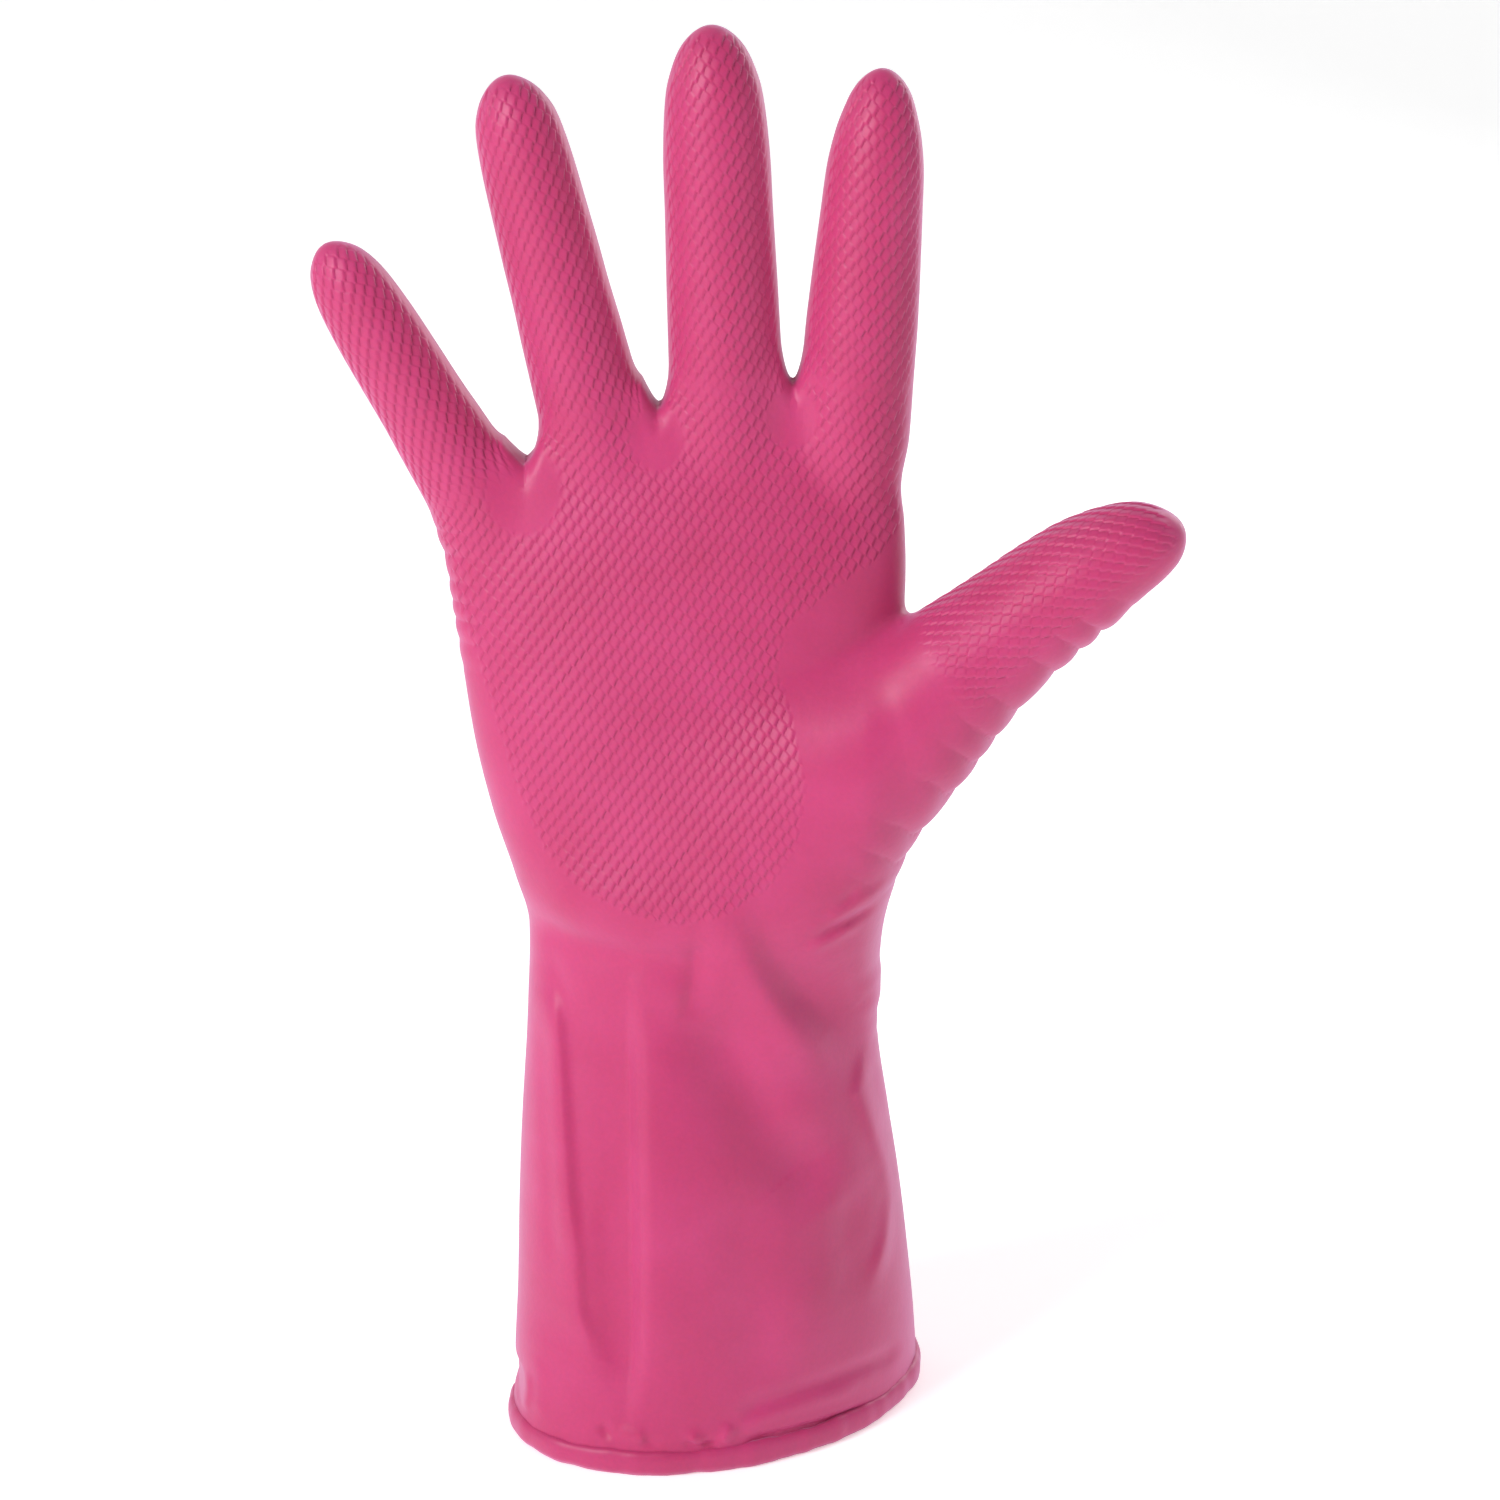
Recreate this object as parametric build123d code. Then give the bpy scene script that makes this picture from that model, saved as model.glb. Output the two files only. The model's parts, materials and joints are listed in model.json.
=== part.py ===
from build123d import *
from dataclasses import dataclass
import math
import os

# Household rubber glove for a right hand: a dipped latex film with a cotton
# flock lining and a rolled bead at the cuff. Both skins are divided into zones
# at the flex lines of the hand, so that each zone can turn with its bone.
#
# Frame: millimetres, +Z from the cuff rim to the fingertips, palm faces -Y,
# thumb towards +X, origin at the centre of the cuff rim on the rim's plane.

UP = Vector(0, 0, 1)
PALMAR = Vector(0, -1, 0)
THUMBWARD = Vector(1, 0, 0)

# ---- skins, bead and gaps ---------------------------------------------------
FILM_THICKNESS = 0.50
GLUE_GAP = 0.10        # between film and lining
LINING_THICKNESS = 0.30
LINING_OUTER = FILM_THICKNESS + GLUE_GAP     # insets from the outside of the glove
LINING_INNER = LINING_OUTER + LINING_THICKNESS
BEAD_RADIUS = 1.90     # section of the rolled bead
BEAD_CLEARANCE = 0.15
FILM_START = 2 * BEAD_RADIUS + BEAD_CLEARANCE
LINING_START = 9.0     # the lining stops short of the rim
CUFF_TOP = 130.0       # upper end of the cuff's cutting slab, above its flex line
RIM_OVERRUN = 6.0      # inner skins run out this far below the rim

ZONE_GAP = 0.30        # between two zones of one skin
HALF_GAP = ZONE_GAP / 2
FILM_EDGE = 1.60       # from a pivot to the film zones on either side
BAND_EDGE = FILM_EDGE - ZONE_GAP   # half width of a flex band at its pivot
BEVEL_MARGIN = 1.0     # degrees added to each bevel

ROSE = Color(0.85, 0.32, 0.52)
DARK_ROSE = Color(0.78, 0.24, 0.45)
COTTON = Color(0.96, 0.93, 0.93)

# ---- cuff, wrist and palm ---------------------------------------------------
# sections from rim to webs: (z, centre x, centre y, half extent in x,
# minor half axis, turn about Z deg, tilt about Y deg, roundness exponent)
TRUNK = [
    (0.0, -0.2, 0.0, 45.2, 35.3, 33.7, 0.0, 2.0),
    (14.0, -0.4, 0.0, 44.6, 35.0, 31.0, 0.0, 2.0),
    (30.0, -0.8, 0.0, 43.4, 34.0, 27.5, 0.0, 2.0),
    (50.0, -1.7, 0.0, 41.9, 32.4, 22.0, 0.0, 2.0),
    (68.0, -2.7, 0.2, 40.1, 30.2, 17.0, 0.0, 2.0),
    (84.0, -3.3, 0.6, 38.4, 27.8, 12.0, 0.0, 2.0),
    (98.0, -3.3, 1.0, 37.8, 25.6, 8.0, 0.0, 2.05),
    (112.0, -3.5, 0.4, 37.3, 24.2, 4.0, 0.0, 2.1),
    (124.0, -4.6, -0.8, 39.2, 23.2, 2.0, 0.0, 2.15),
    (138.0, -6.2, -1.6, 42.0, 21.4, 0.0, 0.0, 2.2),
    (155.0, -7.3, -1.6, 44.6, 19.6, 0.0, 0.0, 2.3),
    (172.0, -7.6, -1.2, 46.6, 18.2, 0.0, 1.0, 2.35),
    (188.0, -8.2, -0.6, 48.0, 16.8, 0.0, 4.0, 2.4),
    (202.5, -8.8, -0.2, 48.6, 15.0, 0.0, 9.0, 2.35),
    (213.0, -9.6, -0.2, 46.2, 12.2, 0.0, 14.0, 2.2),
    (219.2, -10.4, -0.3, 42.8, 8.2, 0.0, 15.9, 2.1),
    (222.2, -10.9, -0.4, 38.0, 3.2, 0.0, 15.9, 2.0),
]
# pivots, and joint limits in degrees
WRIST_BEND_PIVOT = Vector(-3.3, 0.8, 91.0)
WRIST_BEND = (-40.0, 40.0)
WRIST_TILT_PIVOT = Vector(-4.0, 0.0, 118.0)
WRIST_TILT = (-15.0, 20.0)
FOLD_PIVOT = Vector(-7.0, -6.0, 199.0)
FOLD = (-10.0, 30.0)
FOLD_SLOPE = math.radians(4.0)     # of the fold line, about Y

# ---- fingers ----------------------------------------------------------------
# base and tip points; profile stations (distance from tip, radius); creases,
# distances from the tip of the root, middle and tip joints; mouth, distance
# from the tip of the cut at the web (the middle finger has none)
FINGERS = {
    "little": dict(
        base=(-50.3, -1.0, 207.2), tip=(-79.5, -3.5, 257.8),
        profile=[(4.9, 6.2), (9.0, 7.6), (13.0, 8.25), (21.2, 8.85), (29.3, 9.1),
                 (37.5, 9.3), (45.6, 9.75), (53.7, 10.15), (60.0, 10.5), (72.0, 10.9)],
        creases=(43.5, 30.0, 15.5), mouth=53.5),
    "ring": dict(
        base=(-25.8, -1.0, 223.7), tip=(-42.2, -4.0, 291.5),
        profile=[(4.9, 6.65), (8.9, 8.3), (13.0, 8.95), (21.0, 9.5), (29.0, 9.75),
                 (37.0, 10.0), (45.0, 10.15), (53.0, 10.5), (61.0, 10.75), (69.0, 11.2),
                 (84.0, 11.8)],
        creases=(55.0, 39.0, 20.5), mouth=65.0),
    "middle": dict(
        base=(2.1, -1.0, 229.0), tip=(-0.75, -4.0, 301.4),
        profile=[(4.9, 6.8), (8.8, 8.5), (12.7, 9.6), (20.6, 10.5), (28.6, 10.9),
                 (36.7, 11.0), (44.8, 11.2), (53.0, 11.4), (61.0, 11.55), (69.0, 11.8),
                 (88.0, 12.2)],
        creases=(62.0, 43.0, 22.5), mouth=None),
    "index": dict(
        base=(29.0, -1.0, 229.0), tip=(33.8, -4.0, 292.9),
        profile=[(4.8, 5.95), (8.8, 7.5), (12.8, 8.65), (20.7, 9.9), (28.8, 10.35),
                 (36.9, 10.8), (45.0, 11.2), (53.2, 11.5), (61.5, 11.7), (80.0, 12.0)],
        creases=(51.0, 36.5, 19.5), mouth=60.0),
}
FINGER_ZONES = ("proximal", "middle", "tip")
MIDDLE_JOINT = (0.0, 90.0)
TIP_JOINT_SHARE = 0.6      # the tip joint bends this share of the middle joint
FINGER_LIMITS = ((-8.0, 55.0), MIDDLE_JOINT, (0.0, MIDDLE_JOINT[1] * TIP_JOINT_SHARE))
FINGER_PIVOT_DEPTH = 3.6   # pivots under the palmar surface
STATION_PITCH = 8.0        # rough spacing of the loft stations next to the palm
ROOT_RUN = 9.0             # middle finger's skin starts this far below its root pivot
ROOT_HALF = 12.6           # half width of the middle finger's root
ROOT_CUT_HALF = 12.9       # half width of the slot it leaves in the trunk

# ---- thumb ------------------------------------------------------------------
# centre line (x, y, z, radius), from inside the palm to the tip
THUMB_LINE = [
    (14.0, -3.0, 127.0, 17.5),
    (22.0, -5.0, 137.0, 18.6),
    (32.0, -7.5, 149.5, 18.8),
    (41.5, -9.0, 160.5, 17.9),
    (49.8, -10.0, 169.3, 15.9),
    (56.6, -11.2, 175.8, 14.2),
    (63.0, -12.4, 181.6, 13.1),
    (69.2, -13.6, 187.0, 12.5),
    (75.6, -14.9, 192.1, 11.9),
    (82.0, -16.2, 196.6, 10.6),
    (85.7, -17.0, 198.8, 9.5),
    (89.6, -17.8, 201.0, 7.6),
    (92.2, -18.4, 202.3, 5.4),
]
THUMB_TIP = Vector(94.6, -18.9, 203.4)
THUMB_MOUTH_CENTRE = Vector(*THUMB_LINE[4][:3])
THUMB_ZONES = ("proximal", "tip")
THUMB_CREASES = (41.0, 27.0)       # root and tip joints, from the tip
THUMB_LIMITS = ((-5.0, 35.0), (-5.0, 60.0))
THUMB_MOUTH = 51.5                 # from the tip
THUMB_PIVOT_DEPTH = 4.0
THUMB_PAD_TURN = math.radians(42.0)  # pad normal, from the palm's towards the fingers
THUMB_END_RADIUS = 8.0             # sections up to this radius shrink more when inset
THUMB_END_INSET = 1.12             # by this factor

# ---- cutting tools: half sizes and lengths that clear the pieces they cut ----
TRUNK_REACH = 70.0
TRUNK_LENGTH = 400.0
TRUNK_SLAB_LENGTH = 200.0
DIGIT_REACH = 30.0
DIGIT_LENGTH = 90.0
PAST_TIP = 20.0


def perpendicular(vector, direction):
    """Unit vector of the part of vector that is square to direction."""
    return (vector - direction * vector.dot(direction)).normalized()


def prism(origin, along, across, outline, half):
    """Prism over (across, along) points, extruded both ways along the third direction."""
    axis = along.cross(across).normalized()
    plane = Plane(origin=origin, x_dir=across, z_dir=axis)
    # the plane's local y runs against along
    corners = [plane.from_local_coords(Vector(w, -t, 0)) for w, t in outline]
    face = Face(Wire.make_polygon(corners, close=True))
    return extrude(face, amount=half, dir=axis) + extrude(face, amount=half, dir=-axis)


def slab(origin, along, across, start, end, reach=TRUNK_REACH, half=TRUNK_REACH):
    outline = [(-reach, start), (reach, start), (reach, end), (-reach, end)]
    return prism(origin, along, across, outline, half)


@dataclass
class Joint:
    """A flex line, with the bevelled cutters that let its two sides turn."""
    pivot: Vector
    along: Vector      # towards the fingertips
    across: Vector     # the side towards which the joint bends at its high limit
    limits: tuple
    reach: float = TRUNK_REACH
    length: float = TRUNK_LENGTH
    half: float = TRUNK_REACH

    def edge(self, gap, sign):
        """Bevelled edge, open by half of each limit plus the margin.

        sign +1 puts it on the tip side of the pivot, -1 on the root side.
        """
        low, high = self.limits
        rise_high = math.tan(math.radians(max(high, 0) / 2 + BEVEL_MARGIN))
        rise_low = math.tan(math.radians(max(-low, 0) / 2 + BEVEL_MARGIN))
        return [(-self.reach, sign * (gap + self.reach * rise_low)),
                (0, sign * gap),
                (self.reach, sign * (gap + self.reach * rise_high))]

    def end(self, sign):
        return [(self.reach, sign * self.length), (-self.reach, sign * self.length)]

    def cutter(self, outline, half=None):
        return prism(self.pivot, self.along, self.across, outline, half or self.half)

    def tip_side(self, gap=FILM_EDGE):
        return self.cutter(self.edge(gap, 1) + self.end(1))

    def root_side(self):
        return self.cutter(self.edge(FILM_EDGE, -1) + self.end(-1))

    def band(self):
        return self.cutter(self.edge(BAND_EDGE, -1) + self.edge(BAND_EDGE, 1)[::-1])


@dataclass
class Digit:
    """A finger or the thumb; distances are taken from the tip."""
    name: str
    tip: Vector
    along: Vector        # towards the tip
    pad: Vector          # normal of the pad side
    mouth: float         # distance of the cut at the trunk, or None
    mouth_size: tuple    # (reach, half) of the digit's slab at the mouth
    opening_size: tuple  # (reach, half) of the slab cut from the trunk
    zones: tuple         # from root to tip
    creases: tuple       # distance of the joint at the root of each zone
    joints: list
    half: float          # half size of the cutters

    def slab(self, distance, start, end, size):
        centre = self.tip - self.along * distance
        return slab(centre, self.along, self.pad, start, end, *size)


def make_joints(tip, along, pad, creases, limits, radius_at, depth, half):
    """Joints of a digit, their pivots at a depth under the pad surface."""
    return [Joint(tip - along * crease + pad * (radius_at(crease) - depth),
                  along, pad, limit, DIGIT_REACH, DIGIT_LENGTH, half)
            for crease, limit in zip(creases, limits)]


def finger_frame(finger):
    """Tip, direction to the tip and palmar normal of a finger."""
    tip = Vector(*finger["tip"])
    along = (tip - Vector(*finger["base"])).normalized()
    return tip, along, perpendicular(PALMAR, along)


def make_finger(name):
    finger = FINGERS[name]
    tip, along, pad = finger_frame(finger)

    def radius_at(distance):
        profile = finger["profile"]
        for (s0, r0), (s1, r1) in zip(profile, profile[1:]):
            if s0 <= distance <= s1:
                return r0 + (r1 - r0) * (distance - s0) / (s1 - s0)

    half = 20.0
    joints = make_joints(tip, along, pad, finger["creases"], FINGER_LIMITS,
                         radius_at, FINGER_PIVOT_DEPTH, half)
    return Digit(name, tip, along, pad, mouth=finger["mouth"], mouth_size=(14.0, 12.6),
                 opening_size=(20.0, 13.2), zones=FINGER_ZONES,
                 creases=finger["creases"], joints=joints, half=half)


def make_thumb():
    along = (THUMB_TIP - THUMB_MOUTH_CENTRE).normalized()
    fingerward = Vector(-along.Z, 0, along.X).normalized()
    front = perpendicular(PALMAR, along)
    pad = perpendicular(front * math.cos(THUMB_PAD_TURN)
                        + fingerward * math.sin(THUMB_PAD_TURN), along)

    def radius_at(distance):
        """Radius of the nearest station."""
        def offset(station):
            return abs((THUMB_TIP - Vector(*station[:3])).dot(along) - distance)
        return min(THUMB_LINE, key=offset)[3]

    half = 22.0
    joints = make_joints(THUMB_TIP, along, pad, THUMB_CREASES, THUMB_LIMITS,
                         radius_at, THUMB_PIVOT_DEPTH, half)
    return Digit("thumb", THUMB_TIP, along, pad, mouth=THUMB_MOUTH, mouth_size=(22.0, 22.0),
                 opening_size=(24.0, 24.0), zones=THUMB_ZONES,
                 creases=THUMB_CREASES, joints=joints, half=half)


# ---- solids of the hand -----------------------------------------------------
def oval(centre, x_dir, y_dir, x_half, y_half, exponent=2.0):
    """Closed oval of four cubic arcs; an exponent above 2 squares it up a little."""
    k = 0.5523 * (1.0 + 0.28 * (exponent - 2.0))   # 0.5523 gives a near circle
    arcs = [((1, 0), (1, k), (k, 1), (0, 1)),
            ((0, 1), (-k, 1), (-1, k), (-1, 0)),
            ((-1, 0), (-1, -k), (-k, -1), (0, -1)),
            ((0, -1), (k, -1), (1, -k), (1, 0))]
    return Wire([
        Edge.make_bezier(*[centre + x_dir * (x_half * x) + y_dir * (y_half * y)
                           for x, y in arc])
        for arc in arcs])


def major_half_axis(half_x, minor, turn):
    """Major half axis of an ellipse turned by turn, from its half extent in x."""
    return math.sqrt(half_x ** 2 - (minor * math.sin(turn)) ** 2) / math.cos(turn)


def trunk_wire(station, inset, drop):
    z, x, y, half_x, minor, turn, tilt, exponent = station
    turn, tilt = math.radians(turn), math.radians(tilt)
    major = major_half_axis(half_x, minor, turn)
    x_dir = Vector(math.cos(turn) * math.cos(tilt), math.sin(turn),
                   math.cos(turn) * math.sin(tilt))
    y_dir = Vector(-math.sin(turn) * math.cos(tilt), math.cos(turn),
                   -math.sin(turn) * math.sin(tilt))
    return oval(Vector(x, y, z - drop), x_dir, y_dir, major - inset, minor - inset, exponent)


def trunk_solid(inset):
    """Cuff, wrist and palm as one loft; inset ones run out past the rim."""
    drops = [0.0] * len(TRUNK)
    drops[0] = RIM_OVERRUN if inset > 0 else 0.0
    drops[-1] = inset
    wires = [trunk_wire(station, inset, drop) for station, drop in zip(TRUNK, drops)]
    return Solid.make_loft(wires, ruled=False)


def inset_profile(points, inset):
    """Move (radius, height) points inwards, square to the line of their neighbours."""
    moved = [(0.0, -inset)]
    for i in range(1, len(points)):
        r0, y0 = points[i - 1]
        r1, y1 = points[min(i + 1, len(points) - 1)]
        length = math.hypot(r1 - r0, y1 - y0)
        normal_r, normal_y = -(y1 - y0) / length, (r1 - r0) / length
        moved.append((points[i][0] - inset * normal_r, points[i][1] - inset * normal_y))
    return moved


def finger_solid(finger, inset):
    """Finger as a loft of round sections, closed at the tip."""
    points = [(0.0, 0.0)] + [(r, -s) for s, r in finger["profile"]]
    # split the long last step, towards the palm
    (r0, y0), (r1, y1) = points[-2:]
    steps = max(1, round((y0 - y1) / STATION_PITCH))
    points = points[:-1] + [(r0 + (r1 - r0) * i / steps, y0 + (y1 - y0) * i / steps)
                            for i in range(1, steps + 1)]
    if inset > 0:
        points = inset_profile(points, inset)
    tip, along, pad = finger_frame(finger)
    side_dir = along.cross(pad).normalized()
    wires = [oval(tip + along * y, side_dir, pad, r, r) for r, y in reversed(points[1:])]
    end = Vertex(*(tip + along * points[0][1]))
    return Solid.make_loft(wires + [end], ruled=False)


def thumb_solid(inset, along):
    """Thumb and its mount as a loft along the centre line, closed at the tip."""
    centres = [Vector(*station[:3]) for station in THUMB_LINE] + [THUMB_TIP]
    wires = []
    for i, station in enumerate(THUMB_LINE):
        tangent = (centres[i + 1] - centres[max(i - 1, 0)]).normalized()
        radius = station[3]
        radius -= inset * (1.0 if radius > THUMB_END_RADIUS else THUMB_END_INSET)
        x_dir = Vector(0, 1, 0).cross(tangent).normalized()
        wires.append(oval(centres[i], x_dir, tangent.cross(x_dir), radius, radius))
    end = Vertex(*(THUMB_TIP - along * inset))
    return Solid.make_loft(wires + [end], ruled=False)


def largest(shape):
    return sorted(shape.solids(), key=lambda solid: solid.volume)[-1]


def hand_solid(inset, thumb):
    body = trunk_solid(inset)
    body = body.fuse(thumb_solid(inset, thumb.along))
    for finger in FINGERS.values():
        body = body.fuse(finger_solid(finger, inset))
    return largest(body)


# ---- pieces -----------------------------------------------------------------
def save(name, shape, color):
    """Write the largest solid of the shape as one piece."""
    solid = largest(shape)
    solid.label = name
    solid.color = color
    export_step(solid, f"parts/{name}.step")


def digit_skin(skin, digit):
    """The digit's part of a skin."""
    if digit.mouth:
        return skin & digit.slab(digit.mouth, HALF_GAP, DIGIT_LENGTH, digit.mouth_size)
    start = digit.joints[0].pivot - digit.along * ROOT_RUN
    return skin & slab(start, digit.along, digit.pad, 0, DIGIT_LENGTH,
                       DIGIT_REACH, ROOT_HALF)


def trunk_opening(digit, is_film):
    """What a digit takes out of the trunk's skin."""
    if digit.mouth:
        return digit.slab(digit.mouth, -HALF_GAP, DIGIT_LENGTH, digit.opening_size)
    root = digit.joints[0]
    if is_film:
        return root.cutter(root.edge(FILM_EDGE, -1) + root.end(1), ROOT_CUT_HALF)
    return slab(root.pivot, digit.along, digit.pad, -HALF_GAP, DIGIT_LENGTH,
                DIGIT_REACH, ROOT_CUT_HALF)


def trunk_film(trunk):
    bend = Joint(WRIST_BEND_PIVOT, UP, PALMAR, WRIST_BEND)
    tilt = Joint(WRIST_TILT_PIVOT, UP, THUMBWARD, WRIST_TILT)
    fold = Joint(FOLD_PIVOT, FOLD_UP, PALMAR, FOLD)
    cuff = trunk & slab(Vector(0, 0, 0), UP, PALMAR, FILM_START, CUFF_TOP)
    wrist = trunk & bend.tip_side()
    hand = trunk & tilt.tip_side()
    save("cuff_film", cuff & bend.root_side(), ROSE)
    save("wrist_bend_band", cuff & bend.band(), DARK_ROSE)
    save("wrist_film", wrist & tilt.root_side(), ROSE)
    save("wrist_tilt_band", trunk & tilt.band(), DARK_ROSE)
    save("palm_film", hand & fold.root_side(), ROSE)
    save("knuckle_fold_band", hand & fold.band(), DARK_ROSE)
    save("knuckle_film", hand & fold.tip_side(), ROSE)


def trunk_lining(trunk):
    def part(skin, pivot, along, start, end):
        return skin & slab(pivot, along, PALMAR, start, end)

    far = TRUNK_SLAB_LENGTH
    wrist_length = WRIST_TILT_PIVOT.Z - WRIST_BEND_PIVOT.Z
    cuff = part(trunk, Vector(0, 0, 0), UP, LINING_START, CUFF_TOP)
    hand = part(trunk, WRIST_TILT_PIVOT, UP, HALF_GAP, far)
    wrist = part(trunk, WRIST_BEND_PIVOT, UP, HALF_GAP, wrist_length - HALF_GAP)
    save("cuff_lining", part(cuff, WRIST_BEND_PIVOT, UP, -far, -HALF_GAP), COTTON)
    save("wrist_lining", wrist, COTTON)
    save("palm_lining", part(hand, FOLD_PIVOT, FOLD_UP, -far, -HALF_GAP), COTTON)
    save("knuckle_lining", part(hand, FOLD_PIVOT, FOLD_UP, HALF_GAP, far), COTTON)


def digit_film(skin, digit):
    """Film zones of a digit, with a band at the joint below each zone."""
    joints = digit.joints
    if digit.mouth:
        collar = skin - joints[0].tip_side(BAND_EDGE)
        save(f"{digit.name}_collar_film", collar, DARK_ROSE)
    else:
        save(f"{digit.name}_root_band", skin & joints[0].band(), DARK_ROSE)
    for i, zone in enumerate(digit.zones):
        if i > 0:
            save(f"{digit.name}_{zone}_joint_band", skin & joints[i].band(), DARK_ROSE)
        film = skin & joints[i].tip_side()
        if i + 1 < len(joints):
            film = film & joints[i + 1].root_side()
        save(f"{digit.name}_{zone}_film", film, ROSE)


def digit_lining(skin, digit):
    """Lining zones of a digit, cut square at the creases."""
    zones, cuts = list(digit.zones), list(digit.creases)
    if digit.mouth:
        zones.insert(0, "collar")
        cuts.insert(0, digit.mouth)
    ends = [-cut - HALF_GAP for cut in cuts[1:]] + [PAST_TIP]
    for zone, cut, end in zip(zones, cuts, ends):
        cutter = digit.slab(0, -cut + HALF_GAP, end, (DIGIT_REACH, digit.half))
        save(f"{digit.name}_{zone}_lining", skin & cutter, COTTON)


def cuff_bead():
    """Rolled bead around the rim, its section centred on the film."""
    _, x, y, half_x, minor, turn, _, _ = TRUNK[0]
    turn = math.radians(turn)
    plane = Plane(origin=(x, y, BEAD_RADIUS),
                  x_dir=(math.cos(turn), math.sin(turn), 0), z_dir=(0, 0, 1))
    rim = Edge.make_ellipse(major_half_axis(half_x, minor, turn) - FILM_THICKNESS / 2,
                            minor - FILM_THICKNESS / 2, plane)
    section_plane = Plane(origin=rim @ 0, z_dir=rim % 0)
    section = Face(Wire([Edge.make_circle(BEAD_RADIUS, section_plane)]))
    save("cuff_bead", sweep(section, path=Wire([rim])), DARK_ROSE)


FOLD_UP = Vector(-math.sin(FOLD_SLOPE), 0, math.cos(FOLD_SLOPE))

os.makedirs("parts", exist_ok=True)
thumb = make_thumb()
digits = [thumb] + [make_finger(name) for name in FINGERS]

# (is film, outer inset, inner inset, trunk pieces, digit pieces)
SKINS = [
    (True, 0.0, FILM_THICKNESS, trunk_film, digit_film),
    (False, LINING_OUTER, LINING_INNER, trunk_lining, digit_lining),
]
for is_film, outer, inner, save_trunk, save_digit in SKINS:
    skin = largest(hand_solid(outer, thumb) - hand_solid(inner, thumb))
    trunk = skin
    for digit in digits:
        trunk = trunk - trunk_opening(digit, is_film)
        save_digit(digit_skin(skin, digit), digit)
    save_trunk(trunk)
cuff_bead()
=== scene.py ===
"""A rolled-cuff latex glove with a cotton flock lining and a raised grip pattern.

The glove stands upright on its cuff: z runs from the bead at the floor to the fingertips,
the palm faces -y, the thumb points to +x. Lengths are millimetres unless noted; meshes are
converted to metres when they are made. The glove's form is a signed field, negative
inside, meshed once and then cut into pieces; only the palm piece is tied to a body of the frame.
"""
import bpy
import json
import math
import numpy as np
from types import SimpleNamespace
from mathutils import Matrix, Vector


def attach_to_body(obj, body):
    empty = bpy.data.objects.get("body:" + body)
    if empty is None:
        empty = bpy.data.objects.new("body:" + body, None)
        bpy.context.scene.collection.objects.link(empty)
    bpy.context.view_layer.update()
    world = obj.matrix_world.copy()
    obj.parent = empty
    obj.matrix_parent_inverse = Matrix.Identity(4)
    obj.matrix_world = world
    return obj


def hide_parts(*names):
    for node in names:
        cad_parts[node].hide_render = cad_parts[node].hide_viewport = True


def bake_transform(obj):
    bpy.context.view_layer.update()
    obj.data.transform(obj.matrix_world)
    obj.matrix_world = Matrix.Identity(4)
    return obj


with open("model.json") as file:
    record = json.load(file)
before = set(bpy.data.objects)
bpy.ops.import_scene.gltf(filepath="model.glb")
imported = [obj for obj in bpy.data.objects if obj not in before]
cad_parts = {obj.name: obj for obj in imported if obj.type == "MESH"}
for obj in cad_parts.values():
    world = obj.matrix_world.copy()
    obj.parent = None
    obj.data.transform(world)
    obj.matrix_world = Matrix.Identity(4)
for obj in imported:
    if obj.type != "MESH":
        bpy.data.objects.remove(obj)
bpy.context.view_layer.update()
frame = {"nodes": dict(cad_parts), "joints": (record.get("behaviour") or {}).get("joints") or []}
MM = 0.001

FILM_THICKNESS = 0.50
LINING_DEPTHS = (0.60, 0.90)     # outer and inner face of the flock, below the film's skin
BEAD_RADIUS = 1.90               # nominal
CUT_RIM = 2 * BEAD_RADIUS - 0.35    # height at which the film ends, inside the bead
LINING_RIM = 9.0
BASE_CELL = 1.3
COARSE_SPLIT = 2                 # subdivision of a plain base quad
FINE_SPLIT = 5    # and of one that carries the grip pattern
PAD_HEIGHT = 0.33

# Palm and cuff sections: z, centre x, centre y, half extent in x, minor half axis,
# turn in degrees, superellipse exponent
TRUNK = np.array([
    (-12.0, -0.2, 0.0, 45.2, 35.3, 33.7, 2.0),
    (0.0, -0.2, 0.0, 45.2, 35.3, 33.7, 2.0),
    (14.0, -0.4, 0.0, 44.6, 35.0, 31.0, 2.0),
    (30.0, -0.8, 0.0, 43.4, 34.0, 27.5, 2.0),
    (50.0, -1.7, 0.0, 41.9, 32.4, 22.0, 2.0),
    (68.0, -2.7, 0.2, 40.1, 30.2, 17.0, 2.0),
    (84.0, -3.3, 0.6, 38.4, 27.8, 12.0, 2.0),
    (98.0, -3.3, 1.0, 37.6, 25.6, 8.0, 2.05),
    (112.0, -3.5, 0.4, 37.1, 24.2, 4.0, 2.1),
    (124.0, -4.6, -0.8, 38.8, 23.2, 2.0, 2.15),
    (138.0, -6.2, -1.6, 41.6, 21.4, 0.0, 2.2),
    (155.0, -7.3, -1.6, 44.2, 19.4, 0.0, 2.3),
    (172.0, -7.6, -1.2, 46.2, 17.6, 0.0, 2.4),
    (188.0, -8.2, -0.6, 47.8, 15.8, 0.0, 2.4),
    (200.0, -9.2, -0.3, 48.4, 13.8, 0.0, 2.35),
    (212.0, -9.8, -0.3, 47.0, 11.0, 0.0, 2.2),
    (224.0, -8.5, -0.4, 46.0, 8.4, 0.0, 2.1),
    (240.0, -8.5, -0.4, 46.0, 7.0, 0.0, 2.1),
])
# Top edge of the palm: x, z
WEB = np.array([(-70, 196.0), (-56, 203.0), (-39.1, 213.0), (-26, 220.0), (-11.6, 224.0),
                (2, 228.0), (15.9, 228.6), (30, 229.0), (44, 226.0), (60, 220.0)])
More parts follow.
